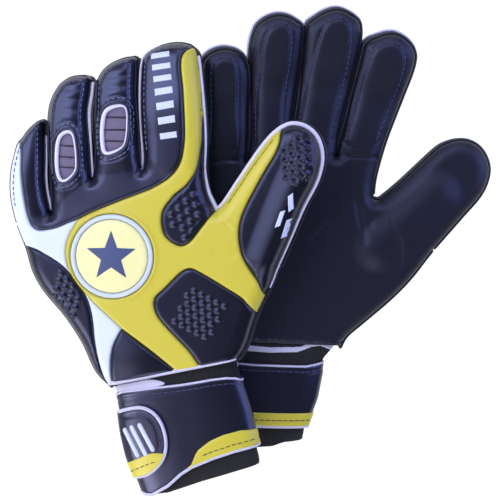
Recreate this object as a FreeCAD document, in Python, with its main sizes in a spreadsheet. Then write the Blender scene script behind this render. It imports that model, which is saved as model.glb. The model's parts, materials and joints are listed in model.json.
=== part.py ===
"""Pair of goalkeeper gloves: the right glove lies palm up, the left glove lies back up over its edge.

Each glove is modelled in its own plane, seen with the thumb to the right. Its u axis points to the
thumb, its v axis to the fingertips, and its origin is the middle of the wrist. The layers are
heights w above the middle of the glove, positive towards the back of the hand.
"""
import FreeCAD, Part
import math
import os
import Sketcher

Vector = FreeCAD.Vector
Rotation = FreeCAD.Rotation
Placement = FreeCAD.Placement

FINGERS = ["little", "ring", "middle", "index"]
DIGITS = FINGERS + ["thumb"]
SIDES = ["left", "right"]

# Driving dimensions of both gloves, in millimetres and degrees.
SHARED = {
    # layers, as heights from the middle of the glove towards the back of the hand
    "palm_low": -12, "palm_high": -7, "back_low": 6, "back_high": 12, "cover_high": 13.8,
    "vent_high": 13.0, "wall": 2, "knuckle_gap": 0.6, "finger_curl": 10, "index_hinge_lean": 0.6,
    # palm outline and the round seat of the thumb
    "wrist_width": 78, "web_radius": 1.2, "edge_radius": 12, "thumb_clearance": 0.7,
    "web_swing": 20, "outer_swing": 14, "seat_wall": 3, "room_bend": 0.5, "least_bend": 0.1,
    # covers on the back of the hand
    "badge_u": -21.5, "badge_v": 77, "badge_radius": 21.5, "badge_gap": 0.5,
    "yellow_bend": 1.5, "white_bend": 2, "pad_bend": 4, "vent_width": 11, "vent_length": 22,
    "vent_bend": 4.4, "ring_vent_start": 6, "middle_vent_start": 2,
    "piping_width": 1.6, "piping_inset": 1.2, "piping_start": 6, "piping_bend": 0.3,
    # wrist: a stretch band, then the strap over a longer inner cuff
    "cuff_width": 78, "cuff_height": 22, "cuff_sink": 0.5, "strap_wall": 2.5,
    "lining_wall": 2, "elastic_start": 0.3, "elastic_length": 8, "strap_gap": 0.2, "trim_length": 8,
    "lining_extra": 6,
    # closing tab on the back of the strap
    "tab_width": 38, "tab_length": 25, "tab_radius": 16, "tab_root_bend": 0.5, "tab_root": 37.5,
    "tab_start": 17,
    "tab_gap": 0.35, "hook_thickness": 1.15, "tab_thickness": 1.8, "hook_margin": 4,
}

# Lie of each glove, its cuff length and how its hand leans towards the thumb.
LIE = {
    "left": {"wrist_x": 105.6, "wrist_y": 75.6, "wrist_z": 36.5, "turn": 12, "tilt": 12.8,
             "cuff_length": 58, "cuff_shift": -1, "narrow": 0, "lean": 0, "shift": 0},
    "right": {"wrist_x": 163.5, "wrist_y": 91.2, "wrist_z": 13.8, "turn": -3, "tilt": 0,
              "cuff_length": 50, "cuff_shift": -4, "narrow": 0.0014, "lean": 0.147, "shift": 3},
}

# Middle knuckle or thumb seat (u, v), lean from the v axis towards the thumb, length and widths.
DIGIT_KEYS = ["root_u", "root_v", "angle", "length", "root_width", "tip_width"]
DIGIT_SIZES = {
    "left": {
        "little": (-59.0, 138, 13.5, 25.5, 21, 19),
        "ring": (-31.5, 154, 15.5, 31, 25, 24),
        "middle": (-1.5, 158, 13.5, 32.5, 26, 24),
        "index": (29.7, 154.5, 11.5, 37.5, 34, 29),
        "thumb": (68, 81.5, 39.5, 63, 45, 32),
    },
    "right": {
        "little": (-34.5, 144.5, -3, 33, 26, 24.5),
        "ring": (-7.2, 158.5, 5, 40.5, 27, 26),
        "middle": (25.0, 161.5, 8, 42.5, 31, 29),
        "index": (56.8, 152, 11, 40, 30, 28),
        "thumb": (80.0, 80, 41.5, 60, 44, 29),
    },
}

# Ulnar edge from the wrist up, webs from little finger to thumb, thumb edge down to the wrist.
HAND_POINTS = {
    "left": {
        "ulnar": [(-39, 0), (-50, 21), (-57, 48), (-69, 72), (-73.5, 99)],
        "webs": [(-52.8, 109.5), (-24.6, 125.5), (6.3, 125), (43.6, 92.6)],
        "radial": [(67.5, 40.5), (57.5, 33), (46, 11), (39, 0)],
    },
    "right": {
        "ulnar": [(-35, 0), (-40.5, 27), (-44, 57), (-47, 86), (-47.5, 109)],
        "webs": [(-21, 110.5), (6, 114.5), (34, 119.5), (56.8, 93.6)],
        "radial": [(81.5, 45), (70.5, 33), (46, 9), (42, 0)],
    },
}

# Outlines of the covers on the back of the hand, in the left glove's plane.
YELLOW_POINTS = [(-35, 101), (-18, 106), (7, 110), (24, 116), (34, 129), (41, 126), (36, 116), (18, 104),
                 (9, 96), (8, 83), (17, 72), (30, 74), (42, 84), (50, 80), (52, 68), (58, 44), (55, 34),
                 (28, 60), (16, 63), (-6, 48), (-4, 31), (12, 4), (1, 3), (-25, 34), (-38, 55),
                 (-47, 70), (-50, 84), (-47, 95)]
WHITE_POINTS = [(-71, 103), (-56, 99), (-50, 94), (-53, 84), (-49.5, 69.5), (-40.5, 53.5), (-28, 32),
                (-34, 25), (-38, 15), (-40, 5), (-43, 7), (-43.5, 24), (-43.5, 53), (-52, 71),
                (-61, 87), (-70, 93)]
PAD_POINTS = {
    "ulnar": [(-70, 90), (-63, 85), (-54, 70), (-45.5, 53), (-45.5, 39), (-46, 24), (-46, 11),
              (-48, 22), (-54, 45), (-64, 62), (-70, 80)],
    "thumb_side": [(24, 57), (50, 31), (45, 14), (37, 3), (15, 3), (-3, 37), (-2, 46), (15, 59)],
    "web": [(28, 107), (18, 100), (13, 95), (12, 86), (18, 77), (28, 79), (40, 91), (35, 106)],
    "wrist": [(-25, 30), (-2, 4), (-36, 5), (-36, 15), (-33, 24)],
}


def flat_sizes():
    """All driving dimensions under the names that their cells get."""
    values = dict(SHARED)
    for side in SIDES:
        for name, value in LIE[side].items():
            values[f"{side}_{name}"] = value
        for digit in DIGITS:
            for name, value in zip(DIGIT_KEYS, DIGIT_SIZES[side][digit]):
                values[f"{side}_{digit}_{name}"] = value
    return values


def add_sheet():
    """The sheet of driving dimensions, each cell with its alias."""
    page = doc.addObject("Spreadsheet::Sheet", "Sizes")
    for row, (name, value) in enumerate(flat_sizes().items(), start=1):
        page.set(f"A{row}", name)
        page.set(f"B{row}", str(value))
        page.setAlias(f"B{row}", name)
    doc.recompute()
    return page


def size(name):
    return float(sheet.get(name))


def face_sign(side):
    """+1 where the back of the hand is up, -1 where the palm is up."""
    return 1 if side == "left" else -1


# ---------------------------------------------------------------- places

def glove_place(side):
    """From a glove's own plane to the table that the pair lies on."""
    spot = Vector(size(f"{side}_wrist_x"), size(f"{side}_wrist_y"), size(f"{side}_wrist_z"))
    tilt = Rotation(Vector(0, 1, 0), -size(f"{side}_tilt"))
    turn = Rotation(Vector(0, 0, 1), size(f"{side}_turn"))
    return Placement(spot, tilt * turn)


def digit_place(side, digit):
    """From a straight digit's own axes, with its root at the origin, to the table."""
    root = Vector(size(f"{side}_{digit}_root_u"), size(f"{side}_{digit}_root_v"), 0)
    lean = Rotation(Vector(0, 0, 1), -size(f"{side}_{digit}_angle"))
    return glove_place(side) * Placement(root, lean)


def knuckle_axis(side, digit):
    """A point on the middle knuckle's hinge, and the hinge's direction towards the thumb.

    The hinges are level, but the index finger's leans so that its tip keeps clear of the middle finger.
    """
    place = digit_place(side, digit)
    along = place.Rotation * Vector(0, 1, 0)
    level = Vector(along.y, -along.x, 0).normalize()
    lean = size("index_hinge_lean") if digit == "index" else 0
    across = (level * (1 - lean) + place.Rotation * Vector(1, 0, 0) * lean).normalize()
    point = place * Vector(0, 0, face_sign(side) * size("palm_low"))
    half_width = size(f"{side}_{digit}_root_width") / 2
    droop = half_width * math.sin(math.radians(size(f"{side}_tilt")))
    return point - Vector(0, 0, droop), across


def digit_tip_place(side, digit):
    """The digit's place with its natural curl towards the palm about the middle knuckle."""
    place = digit_place(side, digit)
    if digit == "thumb":
        return place
    point, across = knuckle_axis(side, digit)
    curl = Rotation(across, -face_sign(side) * size("finger_curl"))
    return Placement(Vector(), curl, point) * place


# ---------------------------------------------------------------- outlines

def rounded_outline(corners):
    """Closed outline of lines and arcs through corners (u, v, radius)."""
    points = [Vector(u, v, 0) for u, v, _ in corners]
    bends = []
    for index, (_, _, radius) in enumerate(corners):
        after = points[(index + 1) % len(points)]
        bends.append(corner_bend(points[index - 1], points[index], after, radius))
    outline = []
    for index, bend in enumerate(bends):
        if len(bend) == 3:
            outline.append(Part.Arc(*bend))
        outline.append(Part.LineSegment(bend[-1], bends[(index + 1) % len(bends)][0]))
    return outline


def corner_bend(last, corner, following, radius):
    """Start, middle and end of the arc that rounds a corner, or the corner where it is almost straight."""
    before = last - corner
    after = following - corner
    half_angle = before.getAngle(after) / 2
    reach = min(radius / math.tan(half_angle), 0.45 * min(before.Length, after.Length))
    if reach < size("least_bend"):
        return [corner]
    before.normalize()
    after.normalize()
    true_radius = reach * math.tan(half_angle)
    nearest = true_radius / math.sin(half_angle) - true_radius
    inward = (before + after).normalize()
    return [corner + before * reach, corner + inward * nearest, corner + after * reach]


def with_radius(points, radius):
    return [(u, v, radius) for u, v in points]


def digit_edges(side, digit, setback, inset=0):
    """The two corners of a finger's root, setback behind its knuckle and inset from its sides."""
    angle = math.radians(size(f"{side}_{digit}_angle"))
    half_width = size(f"{side}_{digit}_root_width") / 2 - inset
    root_u = size(f"{side}_{digit}_root_u") - setback * math.sin(angle)
    root_v = size(f"{side}_{digit}_root_v") - setback * math.cos(angle)
    step_u = half_width * math.cos(angle)
    step_v = -half_width * math.sin(angle)
    return (root_u - step_u, root_v - step_v), (root_u + step_u, root_v + step_v)


def seat_point(side, swing_name, side_sign, inset=0):
    """Where the palm's edge meets the round thumb seat, swung back from the thumb's own edge."""
    angle = math.radians(size(f"{side}_thumb_angle"))
    swing = math.radians(size(swing_name))
    radius = size(f"{side}_thumb_root_width") / 2 + inset
    across = Vector(math.cos(angle), -math.sin(angle), 0)
    along = Vector(math.sin(angle), math.cos(angle), 0)
    spot = across * (side_sign * math.cos(swing)) - along * math.sin(swing)
    return size(f"{side}_thumb_root_u") + radius * spot.x, size(f"{side}_thumb_root_v") + radius * spot.y


def hand_corners(side):
    """Outline of the palm with its finger roots, open where the round thumb seat is cut."""
    shape = HAND_POINTS[side]
    web_radius = size("web_radius")
    corners = with_radius(shape["ulnar"], size("edge_radius"))
    for finger, web in zip(FINGERS, shape["webs"]):
        corners += with_radius(digit_edges(side, finger, size("knuckle_gap")), web_radius / 2)
        corners += with_radius([web], web_radius)
    corners += with_radius([seat_point(side, "web_swing", -1)], web_radius / 2)
    corners += with_radius([seat_point(side, "outer_swing", 1)], web_radius / 2)
    corners += with_radius(shape["radial"], size("edge_radius"))
    return corners


def cavity_corners(side):
    """Outline of the room for the hand: the hand's outline less the side wall, open at every end."""
    shape = HAND_POINTS[side]
    wall = size("wall")
    bend = size("room_bend")
    corners = [(u + wall, v, size("edge_radius")) for u, v in shape["ulnar"]]
    corners[0] = (corners[0][0], -wall, bend)
    for finger, web in zip(FINGERS, shape["webs"]):
        corners += with_radius(digit_edges(side, finger, -wall, inset=wall), bend)
        if finger != "index":
            corners += [(web[0], web[1] - 2 * wall, 2 * wall)]
    corners += with_radius([(shape["webs"][-1][0] - wall, shape["webs"][-1][1] - wall)], wall)
    corners += with_radius([seat_point(side, "web_swing", -1, inset=-size("seat_wall"))], bend)
    corners += with_radius([seat_point(side, "outer_swing", 1, inset=-size("seat_wall"))], bend)
    corners += [(u - wall, v, size("edge_radius")) for u, v in shape["radial"]]
    corners[-1] = (corners[-1][0], -wall, bend)
    return corners


def cover_outline(side, points, radius_name):
    """Cover outline moved from the left glove's plane to this glove's hand."""
    lean = size(f"{side}_lean")
    narrow = size(f"{side}_narrow")
    shift = size(f"{side}_shift")
    moved = [(u * (1 - narrow * v) + lean * v + shift, v) for u, v in points]
    return rounded_outline(with_radius(moved, size(radius_name)))


def circle_outline(u, v, radius):
    return [Part.Circle(Vector(u, v, 0), Vector(0, 0, 1), radius)]


# ---------------------------------------------------------------- plates

def new_body(label):
    body = doc.addObject("PartDesign::Body", label)
    body.Label = label
    sub_parts.append(body)
    return body


def new_sketch(body, name, role, height):
    """Empty sketch on one of the body's own planes, raised by an expression."""
    sketch = body.newObject("Sketcher::SketchObject", f"{body.Label}_{name}")
    plane = next(item for item in body.Origin.OriginFeatures if item.Role == role)
    sketch.AttachmentSupport = [(plane, "")]
    sketch.MapMode = "FlatFace"
    sketch.setExpression("AttachmentOffset.Base.z", height)
    return sketch


def layer_floor(side, low, high):
    """Expression for the lower face of a layer, in the glove's plane."""
    return f"Sizes.{low}" if side == "left" else f"-Sizes.{high}"


def add_pad(body, sketch, length):
    pad = body.newObject("PartDesign::Pad", f"{body.Label}_pad")
    pad.Profile = sketch
    pad.setExpression("Length", length)
    return pad


def add_pocket(body, sketch):
    """Cut the sketch right through the body."""
    pocket = body.newObject("PartDesign::Pocket", f"{body.Label}_pocket")
    pocket.Profile = sketch
    pocket.Type = "ThroughAll"
    pocket.Midplane = True
    return pocket


def plate(side, label, outlines, low, high):
    """Flat layer of a glove with one or more closed outlines."""
    body = new_body(f"{side}_{label}")
    sketch = new_sketch(body, "outline", "XY_Plane", layer_floor(side, low, high))
    for outline in outlines:
        for curve in outline:
            sketch.addGeometry(curve, False)
    add_pad(body, sketch, f"Sizes.{high} - Sizes.{low}")
    body.Placement = glove_place(side)
    return body


def cut_thumb_seat(side, body):
    """Round seat that the thumb turns in."""
    sketch = new_sketch(body, "thumb_seat", "XY_Plane", layer_floor(side, "palm_low", "cover_high"))
    radius = size(f"{side}_thumb_root_width") / 2 + size("thumb_clearance")
    centre = Vector(size(f"{side}_thumb_root_u"), size(f"{side}_thumb_root_v"), 0)
    sketch.addGeometry(Part.Circle(centre, Vector(0, 0, 1), radius), False)
    sketch.addConstraint(Sketcher.Constraint("Radius", 0, radius))
    sketch.setExpression("Constraints[0]", f"Sizes.{side}_thumb_root_width / 2 + Sizes.thumb_clearance")
    add_pocket(body, sketch)


def palm_panel(side):
    body = plate(side, "palm_panel", [rounded_outline(hand_corners(side))], "palm_low", "palm_high")
    cut_thumb_seat(side, body)


def back_body(side):
    body = plate(side, "back_body", [rounded_outline(hand_corners(side))], "back_low", "back_high")
    cut_thumb_seat(side, body)


def side_gusset(side):
    """Side walls of the hand, open at the wrist, the fingers and the thumb."""
    body = plate(side, "side_gusset", [rounded_outline(hand_corners(side))], "palm_high", "back_low")
    cavity = new_sketch(body, "cavity", "XY_Plane", layer_floor(side, "palm_high", "back_low"))
    for curve in rounded_outline(cavity_corners(side)):
        cavity.addGeometry(curve, False)
    add_pocket(body, cavity)
    cut_thumb_seat(side, body)


def yellow_panel(side):
    """Cover round the badge, with a round hole for it."""
    centre = badge_centre(side)
    hole = circle_outline(centre[0], centre[1], size("badge_radius") + size("badge_gap"))
    outlines = [cover_outline(side, YELLOW_POINTS, "yellow_bend"), hole]
    body = plate(side, "yellow_panel", outlines, "back_high", "cover_high")
    cut_thumb_seat(side, body)


def white_panel(side):
    plate(side, "white_panel", [cover_outline(side, WHITE_POINTS, "white_bend")], "back_high", "cover_high")


def grip_pads(side):
    outlines = [cover_outline(side, points, "pad_bend") for points in PAD_POINTS.values()]
    body = plate(side, "grip_pads", outlines, "back_high", "cover_high")
    cut_thumb_seat(side, body)


def badge_centre(side):
    u = size("badge_u")
    v = size("badge_v")
    return u * (1 - size(f"{side}_narrow") * v) + size(f"{side}_lean") * v + size(f"{side}_shift"), v


def badge(side):
    body = new_body(f"{side}_badge")
    sketch = new_sketch(body, "outline", "XY_Plane", layer_floor(side, "back_high", "cover_high"))
    u, v = badge_centre(side)
    sketch.addGeometry(Part.Circle(Vector(u, v, 0), Vector(0, 0, 1), size("badge_radius")), False)
    sketch.addConstraint(Sketcher.Constraint("Radius", 0, size("badge_radius")))
    sketch.setExpression("Constraints[0]", "Sizes.badge_radius")
    add_pad(body, sketch, "Sizes.cover_high - Sizes.back_high")
    body.Placement = glove_place(side)


def along_digit(side, digit, across, behind):
    """Point beside a digit's middle line, and behind its knuckle, in the glove's plane."""
    angle = math.radians(size(f"{side}_{digit}_angle"))
    u = size(f"{side}_{digit}_root_u") + across * math.cos(angle) - behind * math.sin(angle)
    v = size(f"{side}_{digit}_root_v") - across * math.sin(angle) - behind * math.cos(angle)
    return u, v


def vent_mesh(side):
    """Oblong mesh windows behind the knuckles of the ring and middle fingers."""
    half = size("vent_width") / 2
    outlines = []
    for digit in ("ring", "middle"):
        start = size(f"{digit}_vent_start")
        end = start + size("vent_length")
        corners = [along_digit(side, digit, across, behind)
                   for across, behind in ((-half, start), (half, start), (half, end), (-half, end))]
        outlines.append(rounded_outline(with_radius(corners, size("vent_bend"))))
    plate(side, "vent_mesh", outlines, "back_high", "vent_high")


def piping(side):
    """Raised cords along both sides of each web, from the web to the knuckles."""
    outlines = []
    for finger, web, neighbour in zip(FINGERS, HAND_POINTS[side]["webs"], FINGERS[1:]):
        outlines.append(piping_strip(web, digit_edges(side, finger, 1)[1], -1))
        outlines.append(piping_strip(web, digit_edges(side, neighbour, 1)[0], 1))
    plate(side, "piping", outlines, "back_high", "cover_high")


def piping_strip(web, knuckle, side_sign):
    """Strip beside the line from a web to a knuckle edge, on the finger's side of it."""
    start = Vector(web[0], web[1], 0)
    along = (Vector(knuckle[0], knuckle[1], 0) - start).normalize()
    across = Vector(along.y, -along.x, 0) * side_sign
    foot = start + along * size("piping_start")
    head = Vector(knuckle[0], knuckle[1], 0)
    near = across * size("piping_inset")
    far = across * (size("piping_inset") + size("piping_width"))
    corners = [foot + near, head + near, head + far, foot + far]
    return rounded_outline([(point.x, point.y, size("piping_bend")) for point in corners])


# ---------------------------------------------------------------- finger and thumb tips

def tip_outline(sketch, side, digit, inset, start):
    """Tapered digit with a round end: two sides, the end arc and a straight root, all constrained."""
    name = f"Sizes.{side}_{digit}"
    half_root = size(f"{side}_{digit}_root_width") / 2 - inset
    radius = size(f"{side}_{digit}_tip_width") / 2 - inset
    centre = Vector(0, size(f"{side}_{digit}_length") - inset - radius, 0)
    slope = math.asin((half_root - radius) / math.dist((half_root, start), (0, centre.y)))
    touch = Vector(radius * math.cos(slope), centre.y + radius * math.sin(slope), 0)
    root_right = Vector(half_root, start, 0)
    root_left = Vector(-half_root, start, 0)
    touch_left = Vector(-touch.x, touch.y, 0)
    sketch.addGeometry(Part.LineSegment(root_left, root_right), False)
    sketch.addGeometry(Part.LineSegment(root_right, touch), False)
    sketch.addGeometry(Part.Arc(touch, centre + Vector(0, radius, 0), touch_left), False)
    sketch.addGeometry(Part.LineSegment(touch_left, root_left), False)
    rules = [
        ("Coincident", 0, 2, 1, 1), ("Tangent", 1, 2, 2, 1), ("Tangent", 2, 2, 3, 1),
        ("Coincident", 3, 2, 0, 1), ("Symmetric", 0, 1, 0, 2, -2), ("PointOnObject", 2, 3, -2),
    ]
    for rule in rules:
        sketch.addConstraint(Sketcher.Constraint(*rule))
    bind(sketch, ("DistanceX", 0, 1, 0, 2), 2 * half_root, f"{name}_root_width - {2 * inset}")
    bind(sketch, ("DistanceY", -1, 1, 0, 1), start, None)
    bind(sketch, ("Radius", 2), radius, f"{name}_tip_width / 2 - {inset}")
    bind(sketch, ("DistanceY", -1, 1, 2, 3), centre.y, f"{name}_length - {name}_tip_width / 2")


def bind(sketch, rule, value, expression):
    """Add a sized constraint and bind it to the sheet."""
    index = sketch.addConstraint(Sketcher.Constraint(*rule, value))
    if expression:
        sketch.setExpression(f"Constraints[{index}]", expression)


def digit_layer(side, digit, label, low, high):
    """One layer of a digit's moving end."""
    body = new_body(f"{side}_{digit}_{label}")
    sketch = new_sketch(body, "outline", "XY_Plane", layer_floor(side, low, high))
    tip_outline(sketch, side, digit, 0, digit_start(digit))
    add_pad(body, sketch, f"Sizes.{high} - Sizes.{low}")
    body.Placement = digit_tip_place(side, digit)
    return body


def digit_start(digit):
    return 0 if digit == "thumb" else size("knuckle_gap")


def hollow_digit(side, digit, body):
    """Room for the finger, open towards the hand."""
    wall = size("wall")
    cavity = new_sketch(body, "cavity", "XY_Plane", layer_floor(side, "palm_high", "back_low"))
    tip_outline(cavity, side, digit, wall, digit_start(digit) - wall)
    add_pocket(body, cavity)


def add_thumb_ball(side, body, low, high):
    """Round root of the thumb, which turns in the hand's seat."""
    disc = new_sketch(body, "ball", "XY_Plane", layer_floor(side, low, high))
    radius = size(f"{side}_thumb_root_width") / 2
    disc.addGeometry(Part.Circle(Vector(), Vector(0, 0, 1), radius), False)
    disc.addConstraint(Sketcher.Constraint("Radius", 0, radius))
    disc.setExpression("Constraints[0]", f"Sizes.{side}_thumb_root_width / 2")
    return disc


def digit_tip(side, digit):
    """Back, palm and side wall of a digit's moving end."""
    layers = [("back_tip", "back_low", "cover_high"), ("palm_tip", "palm_low", "palm_high"),
              ("tip_gusset", "palm_high", "back_low")]
    for label, low, high in layers:
        body = digit_layer(side, digit, label, low, high)
        if digit == "thumb" and label != "tip_gusset":
            disc = add_thumb_ball(side, body, low, high)
            add_pad(body, disc, f"Sizes.{high} - Sizes.{low}")
        if label == "tip_gusset":
            hollow_digit(side, digit, body)


# ---------------------------------------------------------------- wrist

def slot_outline(side, sketch, first, width, height, width_rule, height_rule):
    """Oblong with round ends about the cuff's middle, with its width and height bound."""
    radius = height / 2
    reach = width / 2 - radius
    shift = size(f"{side}_cuff_shift")
    level = -face_sign(side) * size("cuff_sink")
    middle = Vector(shift, level, 0)
    top = Vector(0, radius, 0)
    end = Vector(reach, 0, 0)
    tip = Vector(radius, 0, 0)
    sketch.addGeometry(Part.LineSegment(middle - end - top, middle + end - top), False)
    sketch.addGeometry(Part.Arc(middle + end - top, middle + end + tip, middle + end + top), False)
    sketch.addGeometry(Part.LineSegment(middle + end + top, middle - end + top), False)
    sketch.addGeometry(Part.Arc(middle - end + top, middle - end - tip, middle - end - top), False)
    for index in range(4):
        sides = (first + index, 2, first + (index + 1) % 4, 1)
        sketch.addConstraint(Sketcher.Constraint("Tangent", *sides))
    sketch.addConstraint(Sketcher.Constraint("Horizontal", first))
    bind(sketch, ("Radius", first + 1), radius, f"({height_rule}) / 2")
    bind(sketch, ("DistanceX", first + 3, 3, first + 1, 3), 2 * reach, f"({width_rule}) - ({height_rule})")
    bind(sketch, ("DistanceY", -1, 1, first + 1, 3), level, None)
    bind(sketch, ("DistanceX", -1, 1, first, 1), shift - reach, None)


def tube(side, label, start_rule, length_rule, outer_inset, wall_name):
    """Oblong tube round the wrist, from start towards the wearer's arm."""
    body = new_body(f"{side}_{label}")
    sketch = new_sketch(body, "outline", "XZ_Plane", start_rule)
    wall = size(wall_name)
    inset = size(outer_inset) if outer_inset else 0
    inset_rule = f" - 2 * Sizes.{outer_inset}" if outer_inset else ""
    width = size("cuff_width") - 2 * inset
    height = size("cuff_height") - 2 * inset
    width_rule = f"Sizes.cuff_width{inset_rule}"
    height_rule = f"Sizes.cuff_height{inset_rule}"
    slot_outline(side, sketch, 0, width, height, width_rule, height_rule)
    wall_rule = f" - 2 * Sizes.{wall_name}"
    slot_outline(side, sketch, 4, width - 2 * wall, height - 2 * wall, width_rule + wall_rule,
                 height_rule + wall_rule)
    add_pad(body, sketch, length_rule)
    body.Placement = glove_place(side)


def wrist(side):
    """Stretch band, strap, its trim and the inner cuff, all round the wrist."""
    strap_start = "Sizes.elastic_start + Sizes.elastic_length + Sizes.strap_gap"
    strap_length = f"Sizes.{side}_cuff_length - Sizes.elastic_length - Sizes.trim_length"
    tube(side, "wrist_elastic", "Sizes.elastic_start", "Sizes.elastic_length", None, "strap_wall")
    tube(side, "wrist_strap", strap_start, strap_length, None, "strap_wall")
    tube(side, "strap_trim", f"{strap_start} + {strap_length}", "Sizes.trim_length", None, "strap_wall")
    tube(side, "inner_cuff", "Sizes.elastic_start", f"Sizes.{side}_cuff_length + Sizes.lining_extra",
         "strap_wall", "lining_wall")


def tab_corners(side, margin):
    """Outline of the tab from its root at the strap's edge to its round end."""
    root = size(f"{side}_cuff_shift") - size("tab_root") + margin
    end = size(f"{side}_cuff_shift") - size("tab_root") + size("tab_length") - margin
    top = -size("tab_start") - margin
    bottom = -size("tab_start") - size("tab_width") + margin
    radius = size("tab_radius") - margin
    bend = size("tab_root_bend")
    return [(root, bottom, bend), (end, bottom, radius), (end, top, radius), (root, top, bend)]


def closing_tab(side):
    """Tab over the back of the strap, and the hook patch under it."""
    rules = {
        "hook_patch": ("cuff_height / 2 - Sizes.cuff_sink + Sizes.tab_gap", "hook_thickness", "hook_margin"),
        "strap_tab": ("cuff_height / 2 - Sizes.cuff_sink + Sizes.tab_gap + Sizes.hook_thickness",
                      "tab_thickness", None),
    }
    for label, (low_rule, thickness, margin_name) in rules.items():
        body = new_body(f"{side}_{label}")
        floor = f"Sizes.{low_rule}"
        if side == "right":
            floor = f"-({floor} + Sizes.{thickness})"
        sketch = new_sketch(body, "outline", "XY_Plane", floor)
        margin = size(margin_name) if margin_name else 0
        for curve in rounded_outline(tab_corners(side, margin)):
            sketch.addGeometry(curve, False)
        add_pad(body, sketch, f"Sizes.{thickness}")
        body.Placement = glove_place(side)


# ---------------------------------------------------------------- the pair

def glove(side):
    palm_panel(side)
    back_body(side)
    side_gusset(side)
    yellow_panel(side)
    white_panel(side)
    badge(side)
    grip_pads(side)
    vent_mesh(side)
    piping(side)
    wrist(side)
    closing_tab(side)
    for digit in DIGITS:
        digit_tip(side, digit)


def centre_on_table():
    """Move the pair so that its box stands centred on the origin, and return the move."""
    box = FreeCAD.BoundBox()
    for body in sub_parts:
        box.add(body.Shape.optimalBoundingBox())
    move = Vector(-box.Center.x, -box.Center.y, -box.ZMin)
    for body in sub_parts:
        body.Placement = Placement(move, Rotation()) * body.Placement
    doc.recompute()
    return move


def check_model():
    for item in doc.Objects:
        if "Invalid" in item.State or "Error" in item.State:
            raise RuntimeError(f"{item.Label} did not compute: {item.State}")
    for body in sub_parts:
        if body.Shape.isNull() or not body.Shape.isValid() or not body.Shape.Solids:
            raise RuntimeError(f"{body.Label} has no valid solid")


def write_parts():
    os.makedirs("parts", exist_ok=True)
    for body in sub_parts:
        body.Shape.exportStep(f"parts/{body.Label}.step")


doc = FreeCAD.newDocument("goalkeeper_gloves")
sub_parts = []
sheet = add_sheet()
for one_side in SIDES:
    glove(one_side)
doc.recompute()
pair_move = centre_on_table()
check_model()
write_parts()
print(len(sub_parts), "sub-parts written, moved by", pair_move)
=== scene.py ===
"""Looks of a pair of goalkeeper gloves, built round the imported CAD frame.

Every glove is drawn in its own plane, seen with the thumb to the right, in millimetres: u points to
the thumb, v to the fingertips and w from the palm to the back of the hand. The plane's place comes
from the frame's joints, and Glove.place turns points (u, v, w) into the row's frame in metres.
"""
import json
import math

import bpy
import numpy as np
from mathutils import Matrix, Vector
from mathutils.geometry import delaunay_2d_cdt
from mathutils.kdtree import KDTree


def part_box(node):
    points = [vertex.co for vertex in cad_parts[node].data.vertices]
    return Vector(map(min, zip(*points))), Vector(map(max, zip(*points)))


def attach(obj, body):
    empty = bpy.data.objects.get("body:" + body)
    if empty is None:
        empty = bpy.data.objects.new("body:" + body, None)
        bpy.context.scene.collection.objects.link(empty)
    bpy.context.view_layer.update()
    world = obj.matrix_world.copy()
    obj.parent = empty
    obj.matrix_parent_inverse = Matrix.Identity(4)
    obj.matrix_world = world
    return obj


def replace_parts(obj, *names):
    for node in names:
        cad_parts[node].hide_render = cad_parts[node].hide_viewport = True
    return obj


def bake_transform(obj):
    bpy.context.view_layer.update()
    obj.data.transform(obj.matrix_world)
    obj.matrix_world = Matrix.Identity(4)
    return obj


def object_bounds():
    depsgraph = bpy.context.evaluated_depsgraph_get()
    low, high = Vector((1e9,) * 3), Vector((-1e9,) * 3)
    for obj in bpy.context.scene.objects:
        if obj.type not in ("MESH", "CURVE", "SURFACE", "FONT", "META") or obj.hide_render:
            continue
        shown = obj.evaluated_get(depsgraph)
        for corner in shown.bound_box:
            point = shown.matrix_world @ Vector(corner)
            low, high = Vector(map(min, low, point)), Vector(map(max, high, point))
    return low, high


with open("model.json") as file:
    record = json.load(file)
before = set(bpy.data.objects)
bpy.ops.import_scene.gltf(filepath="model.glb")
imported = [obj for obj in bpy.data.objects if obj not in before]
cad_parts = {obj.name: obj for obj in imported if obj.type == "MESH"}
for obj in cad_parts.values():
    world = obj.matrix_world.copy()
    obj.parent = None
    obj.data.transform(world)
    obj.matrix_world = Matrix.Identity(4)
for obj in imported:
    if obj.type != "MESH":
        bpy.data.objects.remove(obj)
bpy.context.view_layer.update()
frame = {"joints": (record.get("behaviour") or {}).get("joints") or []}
joints = {joint["name"]: joint for joint in frame["joints"]}

MM = 0.001
BLOCK = 4000                                   # points measured at a time
HEX_ROW = 0.866                                # between rows of a honeycomb, as a share of its pitch
FINGERS = ["little", "ring", "middle", "index"]
DIGITS = FINGERS + ["thumb"]

# Shape of every glove, in millimetres.
TAB_ROOT_U = {"left": -38.5, "right": -41.5}   # peel hinge of the closing tab
TAB_HINGE_V = -36.0
TAB_HINGE_W = 10.85
TAB_BEND = 8.0                                 # how far from its root the tab would bend; the end point made from it is not used
TAB_LIFT = 1.6                                 # from the strap's face up to the tab's rim
BACK_SEAM = 3.0                                # height of the seam round the back cover
PALM_SEAM = -3.5
BACK_RISE = 8.9                                # from the seam to the crown under the covers
PALM_RISE = 7.3
ROLL = 9.0                                     # how far in from the edge the glove rounds over
CURL = 10.0                                    # resting curl of the fingers, degrees
KNUCKLE_REACH = 15.0                           # soft length before and after a knuckle
TIP_TRIM = 3.4                                 # how much the seam lies behind the drawn tips
EDGE_STEP = 1.5                                # spacing of the points along the outlines
MARGIN = 3.4                                   # from an edge to the stitched line beside it
TRIM_MARGIN = 4.0                              # the same on the yellow trim of the strap
RIM_ROWS = [0.15, 0.6, 1.4, 2.6, 4.2]          # rows of mesh points set in from the outline
SEAM_ROWS = [0.25, 0.6, 1.1]                   # and from a seam, as shares of its rolled edge
THREAD_ARCH = 0.12                             # how far a thread's middle stands over its ends
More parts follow.
